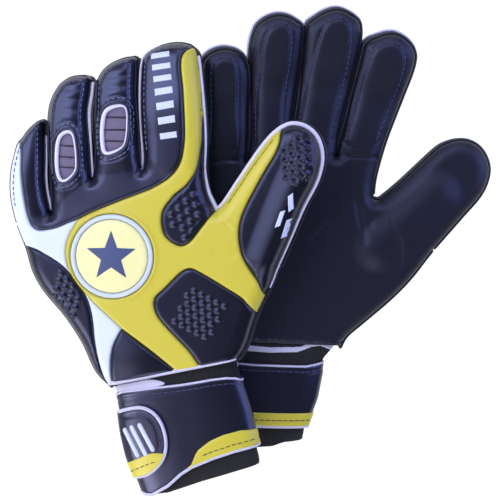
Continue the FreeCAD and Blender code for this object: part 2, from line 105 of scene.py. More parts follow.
GUSSET_THICK = 0.9
RIB_RISE = 0.36                                # of the soft ribs on the fingertips
STAR_POINTS = 5
STAR_RADII = (15.5, 6.4)                       # of the star's tips and of the corners between them
STAR_LEAN = 12                                 # how far the top point leans to the thumb, degrees
BAR_COUNT = 7                                  # bars down the index finger
BAR_HALF_LONG = 5.6
BAR_HALF_WIDE = 1.7
STRIPE_HALF = 1.7                              # half width of the stripe in the stretch band


# ---------------------------------------------------------------- outlines

SHAPES = {
    "left": {
        "ulnar": [(-39.5, 2), (-46.5, 13), (-51, 31.5), (-58, 49), (-67.5, 66.5), (-71.5, 79.5),
                  (-72.5, 93), (-75, 109.5), (-75, 126), (-72, 140.5)],
        "little": [(-66, 153.5), (-62.5, 157.5), (-58, 161.5), (-53, 164.5), (-48.5, 165.5),
                   (-46, 162.5), (-47, 155), (-49.5, 142), (-52.5, 127.5)],
        "ring": [(-50.5, 125), (-47.5, 142), (-44, 162), (-40, 174.5), (-34, 183), (-28, 186.5),
                 (-22, 187), (-16, 185.5), (-12.5, 181), (-15, 171), (-19, 160), (-21.5, 142.5)],
        "middle": [(-21, 135), (-16, 156), (-11.5, 175), (-8.5, 182.5), (-3.5, 188), (3.5, 190.5),
                   (12, 191), (16.5, 188), (16.5, 182), (12.5, 165.5), (10, 148), (8, 134)],
        "index": [(9, 132), (11.5, 150.5), (14.5, 168), (18.5, 184.5), (22.5, 191), (29, 193.5),
                  (38, 194), (46, 192), (50.5, 187), (51.5, 180), (50.5, 166), (48.5, 145.5),
                  (46, 131.5), (42.5, 117), (42, 104)],
        "thumb": [(50, 95.5), (60.5, 105.5), (76, 120), (84.5, 127), (91.5, 131), (98.5, 132.5),
                  (105.5, 130), (110.5, 124.5), (112.5, 117), (111.5, 108), (106, 97), (95.5, 84),
                  (84.5, 68), (73, 52)],
        "radial": [(67.5, 43.5), (60, 34), (52.5, 23), (46, 11.5), (39, 3)],
        "valleys": [(-53, 110), (-24, 125.5), (7, 125), (44.5, 92.5)],
    },
    "right": {
        "ulnar": [(-37, -3), (-40, 9), (-42.5, 25.5), (-45, 50), (-46.5, 74), (-46.5, 98)],
        "little": [(-47, 112), (-48, 128), (-49.5, 149), (-50.5, 164), (-49, 172), (-44.5, 177.5),
                   (-37.5, 179.5), (-30, 178), (-25.5, 173), (-22.5, 162.5), (-21.5, 141.5),
                   (-21, 122)],
        "ring": [(-19.5, 122), (-20, 141.5), (-22, 171.5), (-22, 182), (-19.5, 192.5),
                 (-14.5, 198.5), (-8, 201), (-1, 200.5), (4.5, 197.5), (8, 190.5), (7.5, 172),
                 (5.5, 146), (4, 125)],
        "middle": [(6, 127), (8.5, 151), (9.5, 174.5), (10, 191.5), (13.5, 199), (20.5, 204.5),
                   (28.5, 206.5), (37, 203.5), (42, 196.5), (42.5, 181), (39.5, 160), (34, 133)],
        "index": [(35, 128), (39.5, 150.5), (44, 175), (46, 185.5), (51.5, 191), (61.5, 194),
                  (70, 191), (75.5, 183), (76, 172), (70.5, 152.5), (62.5, 128), (57.5, 106)],
        "thumb": [(61, 92), (73, 102.5), (90, 120), (97.5, 126.5), (108, 130), (118, 127.5),
                  (124.5, 120), (126.5, 110.5), (122.5, 98), (111, 83), (94.5, 62)],
        "radial": [(82.5, 45), (70.5, 31.5), (54.5, 16.5), (45.5, 8), (42, 1)],
        "valleys": [(-21, 110.5), (4.5, 113.5), (33, 116.5), (56.5, 92.5)],
    },
}

# Seams between the covers on the back of the left hand. They start and end outside the outline.
THREE_WAY = (-36, 103.8)                       # where the black, white and yellow covers meet
PAD_CORNER = (-24, 35.5)                       # where the white, yellow and wrist covers meet
INDEX_SEAM = [(10.5, 112.5), (20, 115.5), (27, 119.5), (31.5, 124.5), (35, 132), (38, 143),
              (40.5, 159.5), (41.5, 171), (43, 178.5), (46.5, 183), (56, 187)]
KNUCKLE_SEAM = [THREE_WAY, (-28, 106), (-15, 108.5), (-2.5, 110.5), (10.5, 112.5)]
LITTLE_SEAM = [(-74, 158), (-64.5, 153.5), (-62.5, 147), (-64.5, 135), (-65.5, 121.5), (-65.5, 111),
               (-64, 105), (-60, 102), (-50.5, 101.5), (-42, 103), THREE_WAY]
BOSS_SEAM = [THREE_WAY, (-43, 96), (-47, 88.5), (-48, 80.5), (-47, 72), (-43.5, 64), (-38.5, 55.5),
             (-32, 46.5), PAD_CORNER]
ULNAR_SEAM = [(-82, 98), (-67.5, 93), (-60, 87.5), (-52.5, 80.5), (-47.5, 73.5), (-44, 66.5),
              (-40.5, 56.5), (-40, 45), (-41.5, 32), (-42, 18.5), (-41, 4)]
WRIST_SEAM = [(-37.5, 4), (-35, 17.5), (-31, 27), PAD_CORNER]
STRAP_SEAM = [PAD_CORNER, (-10, 20), (3.5, 4)]
WEB_SEAM = [(58, 156), (49.5, 149), (47, 142), (45, 133.5), (39.5, 119), (34.5, 113), (30.5, 110),
            (24.5, 107), (18.5, 102.5), (14, 97), (12.5, 89), (14, 82.5), (20.5, 76.5), (27, 77.5),
            (34.5, 83.5), (44.5, 92), (51, 97)]
THUMB_SEAM = [(94, 140), (92, 130), (90.5, 123.5), (86, 117), (78.5, 109), (71.5, 101), (64, 92),
              (59, 84.5), (56, 76), (55.5, 64.5), (58.5, 54.5), (61.5, 47), (62.5, 40), (65, 32)]
CENTRE_SEAM = [(62, 22), (56, 29.5), (52.5, 36), (49.5, 40.5), (42, 47.5), (34.5, 54.5), (28, 60),
               (24, 62.5), (19.5, 62), (14, 59), (6.5, 54), (0, 50), (-2, 45.5), (-1.5, 39.5),
               (2, 32), (9, 21), (13.5, 13.5), (17.5, 4)]
BADGE_CENTRE = (-20.5, 78.5)
BADGE_RADIUS = 22.0
BADGE_RING = 25.0
BOSS_RADIUS = 28.0
WINDOWS = {
    "middle": [(-6.5, 160), (1.5, 161), (5.5, 158.5), (4.5, 151), (2, 143.5), (-1.5, 139.5),
               (-9.5, 138), (-12, 141), (-10.5, 152)],
    "ring": [(-37.5, 151), (-33, 153.5), (-29, 152), (-28.5, 146), (-29.5, 138), (-31.5, 132),
             (-37, 128), (-41, 128.5), (-42, 134), (-40.5, 143)],
}
WRIST_EDGE = 4.5                               # where the covers end and the stretch band starts

# Inner panels stitched on the palm side of the right hand's fingers.
PALM_PANELS = {
    "little": [(-43.5, 119), (-44, 140.5), (-45.5, 163.5), (-42.5, 170.5), (-37.5, 172.5),
               (-32, 170.5), (-29.5, 164), (-28, 141.5), (-27.5, 119)],
    "ring": [(-16.5, 121), (-17.5, 148), (-16.5, 164), (-15.5, 180), (-12.5, 190), (-6, 194.5),
             (0, 192), (1.5, 184), (1, 168), (-1, 148), (-2, 121)],
    "middle": [(8.5, 123), (10.5, 149), (15, 173.5), (18.5, 188.5), (22, 196.5), (29, 199.5),
               (35.5, 196), (37, 186), (35, 165.5), (31, 144), (27.5, 123)],
    "index": [(37, 125), (40.5, 142), (45, 163), (49, 177), (54, 184.5), (61, 186.5), (67.5, 184),
              (70, 176), (67.5, 162), (61, 142), (55, 125)],
}
PALM_SEAM_LINE = [(-52, 108.5), (-46, 109.5), (-19.5, 112), (4.5, 115), (37.5, 116.5), (62, 117)]
THUMB_CREASE = [(67, 80), (72.5, 71), (75.5, 59), (76.5, 51.5)]
PALM_CREASES = [[(18, 59), (20.5, 64), (25, 69), (31, 75.5), (36, 80)],
                [(46.5, 96), (47.5, 88), (49, 80), (51.5, 70), (53, 61)], [(58, 84), (55, 78), (54, 70)]]

# Raised details on the back: ridge and honeycomb of the thumb, folds, ribs and threads.
RIDGE = [(102, 106), (94, 96), (85, 83), (76.5, 70), (69, 58)]
HONEY_CENTRE = (101.5, 112.5)
HONEY_PITCH = 5.0
FOLDS = [[(46, 88), (50, 84), (53, 80)], [(49, 91), (54, 87), (58, 82)], [(12, 38), (6, 33), (2, 31)],
         [(40, 70), (46, 66), (52, 65)]]
RIBS = {"middle": (7, 31, 6.1), "ring": (4, 30, 6.0)}   # start and end beyond the knuckle, pitch
THUMB_THREAD = [(53.5, 95), (62, 103), (70, 111), (78.5, 118.5), (86, 125), (90, 128)]
INDEX_THREAD = [(50.5, 182), (51, 172), (50, 160), (48.3, 150), (46.3, 141)]
INDEX_BARS = [(31.5, 183.5), (30.5, 172), (29.5, 160), (28, 141)]
# Each slash by the thumb's edge: start, end and half width.
THUMB_SLASHES = [((91.5, 94), (89.5, 83), 1.5), ((85.5, 85.5), (79.5, 75.5), 1.3),
                 ((88, 80), (81.5, 68.5), 1.3)]
# Pale cords: start and end as shares of the digit's edge, radii along them, how far out and up they lie.
CORDS = {
    "left": {"little": (0.66, 1.0, (0.5, 0.8), 0.4, 1.6),
             "ring": (0.67, 1.0, (1.1, 1.2, 0.7, 0.7), 0.5, 2.3),
             "index": (0.0, 0.4, (0.9, 0.6, 0.8, 0.4), 0.5, 1.9),
             "thumb": (0.0, 1.0, (1.0, 1.3, 1.5, 1.5, 1.1, 0.7, 0.5), 0.4, 1.5)},
    "right": {"little": (0.22, 0.64, (0.4, 0.9, 0.4), 1.2, 0.4),
              "ring": (0.15, 0.64, (0.9, 1.0, 0.4), 1.2, 0.4),
              "middle": (0.22, 0.62, (0.6, 0.9, 0.4), 1.2, 0.4),
              "index": (0.25, 0.62, (0.4, 0.9, 0.4), 1.2, 0.4),
              "thumb": (0.42, 0.9, (0.5, 1.0, 1.0, 0.5), 1.3, 0.4)},
}

# Wrist: its section is an oblong of this half thickness, squarer than an ellipse.
WRIST_MIDDLE = -0.5
WRIST_HALF = 11.0
SQUARENESS = 2.7
# v, middle u and half width of the strap
WRIST_SHAPE = {
    "left": [(8, -0.5, 38.8), (-4, -0.2, 38.4), (-14, 0.2, 38.9), (-27, 0.0, 40.3), (-40, 0.3, 40.0),
             (-53, 1.5, 39.0), (-66, 2.5, 38.0)],
    "right": [(8, 1.2, 39.5), (0, 0.0, 38.5), (-8, -3.6, 36.3), (-15, -4.2, 37.0), (-31, -6.0, 36.6),
              (-48, -8.5, 34.0), (-62, -9.0, 33.0)],
}
# How the strap's edges run: share of the half width from -1 by the little finger, then v
STRAP_TOP = {
    ("left", True): [(-1, -3.5), (-0.85, -2.2), (-0.35, -3), (0.1, -4.3), (0.6, -4.8), (0.8, -5.6),
                     (0.93, -7), (1, -9)],
    ("left", False): [(-1, -3.5), (1, -9)],
    ("right", True): [(-1, -10), (1, -9)],
    ("right", False): [(-1, -10), (-0.2, -11.5), (0.7, -11.3), (1, -9)],
}
STRAP_END = {
    ("left", True): [(-1, -63.5), (-0.92, -65.3), (-0.82, -66), (-0.5, -62), (-0.25, -56.5), (-0.05, -53.5),
                     (0.33, -50.5), (0.65, -49), (1, -48.5)],
    ("left", False): [(-1, -63.5), (1, -48.5)],
    ("right", True): [(-1, -49), (1, -48.5)],
    ("right", False): [(-1, -49), (1, -48.5)],
}
BAND_TOP = {
    ("left", True): [(-0.07, -53.2), (0, -49.5), (0.1, -44.5), (0.33, -40), (0.55, -38), (0.8, -37.5),
                     (1, -39)],
    ("left", False): [(-1, -51.5), (1, -39)],
    ("right", True): [(-1, -40.5), (1, -40)],
    ("right", False): [(-1, -40.5), (1, -40)],
}
CUFF_END = {
    ("left", True): [(-1, -66), (-0.6, -66.5), (0, -63.5), (1, -60)],
    ("left", False): [(-1, -66), (1, -60)],
    ("right", True): [(-1, -61), (1, -57)],
    ("right", False): [(-1, -61), (0.1, -62), (0.4, -61.2), (0.65, -58.5), (1, -57.5)],
}
STRIPE = [(-1, -1.5), (-0.37, -1.5), (0.0, -2), (0.46, -1), (0.64, 2.6), (0.78, 3.2), (1, 0.5)]
FOLD_OUTLINE = [(-36.5, 1.8), (-25, 2.6), (-14, 2.4), (-6, -1.2), (-10, -2.6), (-20, -2.6), (-36, -2)]
TAB_OUTLINE = [(-39.6, -13.6), (-31, -12.6), (-23.5, -12.8), (-18, -15.5), (-14, -20.5), (-12, -28),
               (-12.3, -36.5), (-15.5, -44.5), (-21.5, -50), (-28.5, -53), (-37.5, -54)]
TAB_BACK = [(-37.5, -54), (-39.8, -45), (-40.4, -34), (-40.2, -22), (-39.6, -13.6)]
TAB_TRIM = [(-39.5, -44.6), (-29.5, -42), (-22, -40.6), (-15.5, -41.8)]
TAB_HOOK = [(-36, -20), (-24, -18), (-17, -26), (-17, -38), (-24, -47), (-36, -49)]
TAB_BARS = [((-35.5, -24.5), (-31, -40.5)), ((-30.8, -23.5), (-25.8, -40.5)), ((-25.5, -23), (-20.8, -38.5))]


# ---------------------------------------------------------------- lines and outlines

def lengths(vectors):
    return np.linalg.norm(vectors, axis=-1)


def way_along(line):
    """Distance from a line's start to each of its points."""
    return np.concatenate([[0], np.cumsum(lengths(np.diff(line, axis=0)))])


def points_at(line, places):
    """Points at distances along a line."""
    way = way_along(line)
    return np.column_stack([np.interp(places, way, line[:, k]) for k in range(line.shape[1])])


def even_points(line, count):
    """A number of points spread evenly along a line, its ends included."""
    return points_at(line, np.linspace(0, way_along(line)[-1], count))


def smooth_line(points, step, closed=False):
    """Catmull-Rom curve through the points, resampled evenly about step apart."""
    points = np.asarray(points, float)
    if closed:
        points = np.vstack([points[-1], points, points[:2]])
    else:
        points = np.vstack([2 * points[0] - points[1], points, 2 * points[-1] - points[-2]])
    fine = []
    for a, b, c, d in zip(points, points[1:], points[2:], points[3:]):
        t = np.linspace(0, 1, 16, endpoint=False)[:, None]
        fine.append(0.5 * (2 * b + (c - a) * t + (2 * a - 5 * b + 4 * c - d) * t ** 2
                           + (3 * b - a - 3 * c + d) * t ** 3))
    fine = np.vstack(fine + [points[-2][None, :]])
    even = even_points(fine, max(2, int(round(way_along(fine)[-1] / step)) + 1))
    return even[:-1] if closed else even


def straight_line(points, step):
    start, end = np.asarray(points[0], float), np.asarray(points[1], float)
    count = max(2, int(round(math.dist(start, end) / step)) + 1)
    return start + (end - start) * np.linspace(0, 1, count)[:, None]


def joined(*lines, step=1.6):
    """Closed outline from smooth lines joined end to end, with corners where they meet."""
    parts = [smooth_line(line, step) if len(line) > 2 else straight_line(line, step) for line in lines]
    outline = []
    for part in parts:
        for point in part:
            if not outline or math.dist(outline[-1], point) > 0.35 * step:
                outline.append(tuple(point))
    if math.dist(outline[0], outline[-1]) < 0.35 * step:
        outline.pop()
    return np.array(outline)


def sides(*points):
    """The straight sides between points that follow one another."""
    return [[a, b] for a, b in zip(points, points[1:])]


def polygon(corners, step):
    return joined(*sides(*corners, corners[0]), step=step)


def circle(centre, radius, step=1.5):
    count = int(2 * math.pi * radius / step)
    angles = np.arange(count) * 2 * math.pi / count
    return np.column_stack([centre[0] + radius * np.cos(angles), centre[1] + radius * np.sin(angles)])


def is_inside(points, outline):
    """Even-odd test of many points against one closed outline."""
    x, y = points[:, 0][:, None], points[:, 1][:, None]
    ax, ay = outline[:, 0], outline[:, 1]
    bx, by = np.roll(ax, -1), np.roll(ay, -1)
    crosses = (ay > y) != (by > y)
    at = ax + (y - ay) * (bx - ax) / np.where(by == ay, 1e-12, by - ay)
    return (crosses & (x < at)).sum(1) % 2 == 1


def edge_distance(points, outline, closed=True):
    """Least distance from each point to a line of segments."""
    starts, ends = outline, np.roll(outline, -1, axis=0)
    if not closed:
        starts, ends = outline[:-1], outline[1:]
    best = np.full(len(points), 1e9)
    along = ends - starts
    square = np.maximum((along ** 2).sum(1), 1e-12)
    for block in range(0, len(points), BLOCK):
        part = points[block:block + BLOCK]
        offset = part[:, None, :] - starts[None, :, :]
        share = np.clip((offset * along).sum(2) / square, 0, 1)
        gap = offset - share[:, :, None] * along
        best[block:block + BLOCK] = np.sqrt((gap ** 2).sum(2).min(1))
    return best


def soft_distance(points, outline):
    """Distance to the outline that stays smooth along middle lines, exact beside the edge."""
    ends = np.roll(outline, -1, axis=0)
    middles = (outline + ends) / 2
    weights = lengths(ends - outline)
    exact = edge_distance(points, outline)
    soft = np.empty(len(points))
    for block in range(0, len(points), BLOCK):
        part = points[block:block + BLOCK]
        square = ((part[:, None, :] - middles[None, :, :]) ** 2).sum(2) + 0.4
        soft[block:block + BLOCK] = ((weights / square ** 2).sum(1) * 2 / math.pi) ** (-1 / 3)
    share = smoothstep((exact - 1.5) / 4.0)
    return exact * (1 - share) + soft * share


def outward(edge):
    """Unit directions out of the glove along an open part of its outline."""
    along = np.gradient(edge, axis=0)
    along /= lengths(along)[:, None]
    return np.column_stack([-along[:, 1], along[:, 0]])


def grown_open(edge, distance):
    return edge + outward(edge) * distance


def grown(loop, distance):
    """A closed line moved outwards by a distance."""
    after = np.roll(loop, -1, axis=0)
    along = after - np.roll(loop, 1, axis=0)
    along /= np.maximum(lengths(along), 1e-9)[:, None]
    area = (loop[:, 0] * after[:, 1] - after[:, 0] * loop[:, 1]).sum()
    out = np.stack([along[:, 1], -along[:, 0]], axis=1) * math.copysign(1, area)
    return loop + out * distance


def at_level(line, level):
    """A flat line or sheet of points at a height, or at one height for each point."""
    return np.column_stack([line, np.broadcast_to(level, len(line))])


def smoothstep(x):
    x = np.clip(x, 0, 1)
    return x * x * (3 - 2 * x)


def dome(x):
    """Quarter round that rises steeply from 0 and is level at 1."""
    x = np.clip(x, 0, 1)
    return np.sqrt(np.maximum(0, 1 - (1 - x) ** 2))


def hump(x):
    """1 at x = 0, falling smoothly to 0 at 1 and beyond."""
    x = np.clip(np.abs(x), 0, 1)
    return (1 - x * x) ** 2


def spread(values, count):
    """Values at even places along a line, with a number of points between them filled in."""
    return np.interp(np.linspace(0, 1, count), np.linspace(0, 1, len(values)), values)


def carried(points, source, target):
    """Points moved by the smoothest bend of the plane that takes source onto target."""
    points = np.asarray(points, float)

    def pull(gap):
        return gap * np.log(gap + 1e-9)

    count = len(source)
    between = ((source[:, None, :] - source[None, :, :]) ** 2).sum(2)
    flat = np.column_stack([np.ones(count), source])
    matrix = np.zeros((count + 3, count + 3))
    matrix[:count, :count] = pull(between) + np.eye(count) * 0.5
    matrix[:count, count:] = flat
    matrix[count:, :count] = flat.T
    weights = np.linalg.solve(matrix, np.vstack([target, np.zeros((3, 2))]))
    reach = ((points[:, None, :] - source[None, :, :]) ** 2).sum(2)
    return pull(reach) @ weights[:count] + np.column_stack([np.ones(len(points)), points]) @ weights[count:]


def rotate_about(points, pivot, axis, angles):
    """Turn each point about a line by its own angle."""
    axis = axis / np.linalg.norm(axis)
    offset = points - pivot
    cosine = np.cos(angles)[:, None]
    sine = np.sin(angles)[:, None]
    along = (offset @ axis)[:, None] * axis
    return pivot + along + (offset - along) * cosine + np.cross(axis, offset) * sine


# ---------------------------------------------------------------- a glove

class Digit:
    """One finger or the thumb: its hinge, its direction and where it leaves the hand."""

    def __init__(self, glove, name, first, last):
        joint = joints[f"{glove.side}_{name}_{'swing' if name == 'thumb' else 'flex'}"]
        self.body = f"{glove.side}_{name}"
        self.pivot = np.array(joint["pos_m"])
        self.axis = np.array(joint["axis"])
        self.root = glove.to_local(self.pivot)[:2]
        if name == "thumb":
            low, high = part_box(f"{glove.side}_thumb_back_tip")
            tip = glove.to_local((np.array(low) + np.array(high)) / 2)[:2]
            self.along = (tip - self.root) / np.linalg.norm(tip - self.root)
        else:
            across = glove.axes @ self.axis * -glove.face
            self.along = np.array([-across[1], across[0]]) / np.hypot(across[0], across[1])
        self.across = np.array([self.along[1], -self.along[0]])
        self.edge = glove.rim[first:last + 1]
        self.cut = self.edge[[0, -1]]
        self.soft_start = max(max(self.forward(self.cut)) + 0.5, -KNUCKLE_REACH)

    def forward(self, points):
        return (np.asarray(points) - self.root) @ self.along

    def sideways(self, points):
        return (np.asarray(points) - self.root) @ self.across

    def at(self, sideways, forward):
        return self.root + self.across * sideways + self.along * forward


class Glove:
    """One glove: its plane, its outline and its digits."""

    def __init__(self, side):
        self.side = side
        self.face = 1 if side == "left" else -1
        self.body = f"{side}_hand"
        normal = -np.array(joints[f"{side}_thumb_swing"]["axis"])
        forward = -self.face * np.array(joints[f"{side}_tab_peel"]["axis"])
        self.axes = np.array([np.cross(forward, normal), forward, normal])
        hinge = np.array([TAB_ROOT_U[side], TAB_HINGE_V, self.face * TAB_HINGE_W]) * MM
        self.origin = np.array(joints[f"{side}_tab_peel"]["pos_m"]) - hinge @ self.axes
        self.rim = self.draw_rim()
        shape = SHAPES[side]
        tail = [(shape["radial"][-1][0], -30), (shape["ulnar"][0][0], -30)]
        self.outline = np.vstack([self.rim, tail])
        little_start = shape["ulnar"][-3] if side == "left" else shape["little"][0]
        cuts = [little_start] + list(shape["valleys"]) + [shape["thumb"][-1]]
        ends = [self.nearest(self.rim, point) for point in cuts]
        self.digits = {name: Digit(self, name, first, last)
                       for name, first, last in zip(DIGITS, ends, ends[1:])}
        self.hand_edges = [self.rim[:ends[0] + 1], self.rim[ends[-1]:]]
        marks = [even_points(digit.edge, 9) for digit in self.digits.values()]
        self.marks = np.vstack([even_points(self.hand_edges[0], 5)] + marks
                               + [even_points(self.hand_edges[1], 5)])
        self.skins = {True: [], False: []}
        self.finders = {}

    def draw_rim(self):
        """The outline from the little finger's side of the wrist to the thumb's, trimmed at the tips."""
        shape = SHAPES[self.side]
        webs = shape["valleys"]
        lines = [list(shape["ulnar"]) + list(shape["little"]) + [webs[0]]]
        for name, start, end in zip(FINGERS[1:], webs, webs[1:]):
            lines.append([start] + shape[name] + [end])
        lines.append([webs[3]] + shape["thumb"] + shape["radial"])
        rim = joined(*lines, step=EDGE_STEP)
        out = outward(rim)
        webs_away = lengths(rim[:, None] - np.array(webs, float)).min(1)
        trim = TIP_TRIM * smoothstep(out[:, 1]) * smoothstep((webs_away - 6) / 9)
        trim[self.nearest(rim, webs[3]):] = 0
        return rim - out * trim[:, None]

    @staticmethod
    def nearest(rim, point):
        return int(np.argmin(lengths(rim - np.array(point, float))))

    def to_local(self, point):
        local = self.axes @ (np.asarray(point) - self.origin) / MM
        return local * np.array([1, 1, self.face])

    def place(self, points, digit=None):
        """Points (u, v, w) in the row's frame, in metres, with a finger's resting curl."""
        points = np.asarray(points, float)
        signed = points * np.array([1, 1, self.face])
        placed = self.origin + (signed * MM) @ self.axes
        if digit is None or digit == "thumb":
            return placed
        one = self.digits[digit]
        share = smoothstep((one.forward(points[:, :2]) + KNUCKLE_REACH) / (2 * KNUCKLE_REACH))
        return rotate_about(placed, one.pivot, one.axis, np.radians(CURL) * share)

    def digit_at(self, points):
        """The index of the digit that each point belongs to, -1 for the hand."""
        found = np.full(len(points), -1)
        for index, digit in enumerate(self.digits.values()):
            found[is_inside(points, digit.edge)] = index
        return found

    def height(self, points, back):
        """Height of the padding under the covers, on the back or on the palm."""
        depth = soft_distance(points, self.outline)
        depth[~is_inside(points, self.outline)] = 0
        swell = dome(depth / ROLL) * (0.93 + 0.07 * smoothstep(depth / 26))
        return BACK_SEAM + BACK_RISE * swell if back else PALM_SEAM - PALM_RISE * swell

    def fit(self, points, drawn_on="left"):
        """Points drawn on one side's glove, carried over to this one."""
        points = np.asarray(points, float)
        if drawn_on == self.side:
            return points
        return carried(points, gloves[drawn_on].marks, self.marks)

    def line(self, points, step, drawn_on="left", closed=False):
        return smooth_line(self.fit(points, drawn_on), step, closed)

    def skin(self, points, back=True):
        """Height of the finished covers at points, from the nearest of their own corners."""
        if back not in self.finders:
            corners = np.vstack(self.skins[back])
            finder = KDTree(len(corners))
            for index, corner in enumerate(corners):
                finder.insert((corner[0], corner[1], 0), index)
            finder.balance()
            self.finders[back] = (finder, corners)
        finder, corners = self.finders[back]
        heights = []
        for point in points:
            near = finder.find_n((point[0], point[1], 0), 4)
            shares = [1 / (gap + 0.05) ** 2 for _, _, gap in near]
            total = sum(share * corners[index][2] for share, (_, index, _) in zip(shares, near))
            heights.append(total / sum(shares))
        return np.array(heights)


# ---------------------------------------------------------------- meshes and pieces

def turned(faces, flip):
    return faces[:, ::-1] if flip else faces


def vertex_normals(points, faces):
    corners = points[faces]
    flat = np.cross(corners[:, 1] - corners[:, 0], corners[:, 2] - corners[:, 0])
    normals = np.zeros_like(points)
    for corner in range(3):
        np.add.at(normals, faces[:, corner], flat)
    return normals / np.maximum(lengths(normals), 1e-15)[:, None]


def add_piece(glove, name, digit, points, faces, look, on_tab=False, normals=None):
    """Object at points in metres: a piece of the hand rides on the hand's body, a piece of a digit or of the
    closing tab is only baked in place, not bent.
    """
    label = f"{glove.side}_{name}" + (f"_{digit}" if digit else "")
    mesh = bpy.data.meshes.new(label)
    mesh.from_pydata([tuple(point) for point in points], [], [tuple(face) for face in faces])
    mesh.update()
    mesh.shade_smooth()
    if normals is not None:
        mesh.normals_split_custom_set_from_vertices([tuple(normal) for normal in normals])
    material, slot = look
    mesh.materials.append(material)
    piece = bpy.data.objects.new(label, mesh)
    bpy.context.scene.collection.objects.link(piece)
    if on_tab:
        root = TAB_ROOT_U[glove.side]
        ends = [(root - 0.5, TAB_HINGE_V, TAB_HINGE_W), (root + TAB_BEND, TAB_HINGE_V, TAB_HINGE_W)]
    elif digit:
        one = glove.digits[digit]
        ends = [(*one.at(0, one.soft_start), 0), (*one.at(0, KNUCKLE_REACH), 0)]
    if on_tab or digit:
        start, end = glove.place(ends)
        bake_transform(piece)
    else:
        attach(piece, glove.body)
    return piece


def rows_inside(outline, distances):
    """Points set in from each corner of a closed outline by the distances."""
    rows = []
    for distance in distances:
        row = grown(outline, -distance)
        gap = edge_distance(row, outline)
        rows.append(row[(gap > 0.9 * distance) & is_inside(row, outline)])
    return rows


def hex_points(low, high, step):
    rows = np.arange(low[1], high[1], step * HEX_ROW)
    points = []
    for index, v in enumerate(rows):
        us = np.arange(low[0] + 0.5 * step * (index % 2), high[0], step)
        points.append(at_level(us, v))
    return np.vstack(points)


def triangulate(glove, outline, region, holes, step, roll):
    """Triangles over the part of an outline inside a region, cut where digits leave the hand."""
    seam_rows = [share * roll for share in SEAM_ROWS]
    inner = hex_points(region.min(0), region.max(0), step)
    inner = inner[is_inside(inner, region)]
    inner = inner[is_inside(inner, outline)]
    inner = inner[edge_distance(inner, outline) > RIM_ROWS[-1] + 0.5 * step]
    inner = inner[edge_distance(inner, region) > seam_rows[-1] + 0.45 * step]
    rows = []
    for row in rows_inside(outline, RIM_ROWS):
        row = row[is_inside(row, region)]
        rows.append(row[edge_distance(row, region) > seam_rows[-1]])
    for row in rows_inside(region, seam_rows):
        row = row[is_inside(row, outline)]
        rows.append(row[edge_distance(row, outline) > 0.3])
    inner = np.vstack([inner] + rows)
    for hole in holes:
        gap = edge_distance(inner, hole)
        inner = inner[~is_inside(inner, hole) & (gap > seam_rows[-1] + 0.3 * step)]
        inner = np.vstack([inner] + [grown(hole, distance) for distance in seam_rows])
    points, edges = [], []

    def add_line(line, closed):
        first, count = len(points), len(line)
        points.extend(tuple(point) for point in line)
        edges.extend((first + k, first + (k + 1) % count) for k in range(count if closed else count - 1))

    for loop in [outline, region] + list(holes):
        add_line(loop, True)
    for digit in glove.digits.values():
        cut = straight_line(digit.cut, 2.0)
        if is_inside(cut, region).any():
            add_line(cut, False)
    points += [tuple(point) for point in inner]
    out = delaunay_2d_cdt([Vector(point) for point in points], edges, [], 0, 0.02)
    flat = np.array([tuple(vector) for vector in out[0]])
    faces = np.array([tuple(face) for face in out[2] if len(face) == 3])
    middles = flat[faces].mean(1)
    keep = is_inside(middles, outline) & is_inside(middles, region)
    for hole in holes:
        keep &= ~is_inside(middles, hole)
    used, faces = np.unique(faces[keep], return_inverse=True)
    faces = faces.reshape(-1, 3)
    flat = flat[used]
    one, two = flat[faces[:, 1]] - flat[faces[:, 0]], flat[faces[:, 2]] - flat[faces[:, 0]]
    turn = one[:, 0] * two[:, 1] - one[:, 1] * two[:, 0]
    faces[turn < 0] = faces[turn < 0][:, ::-1]
    return flat, faces[np.abs(turn) > 1e-4]


def shell(top, bottom, faces):
    """Closed shell between two copies of a sheet of triangles."""
    count = len(top)
    edges = {}
    for a, b, c in faces:
        edges.update({(a, b): 1, (b, c): 1, (c, a): 1})
    walls = []
    for a, b in edges:
        if (b, a) not in edges:
            walls += [(b, a, a + count), (b, a + count, b + count)]
    return np.vstack([top, bottom]), np.vstack([faces, faces[:, ::-1] + count, np.array(walls)])


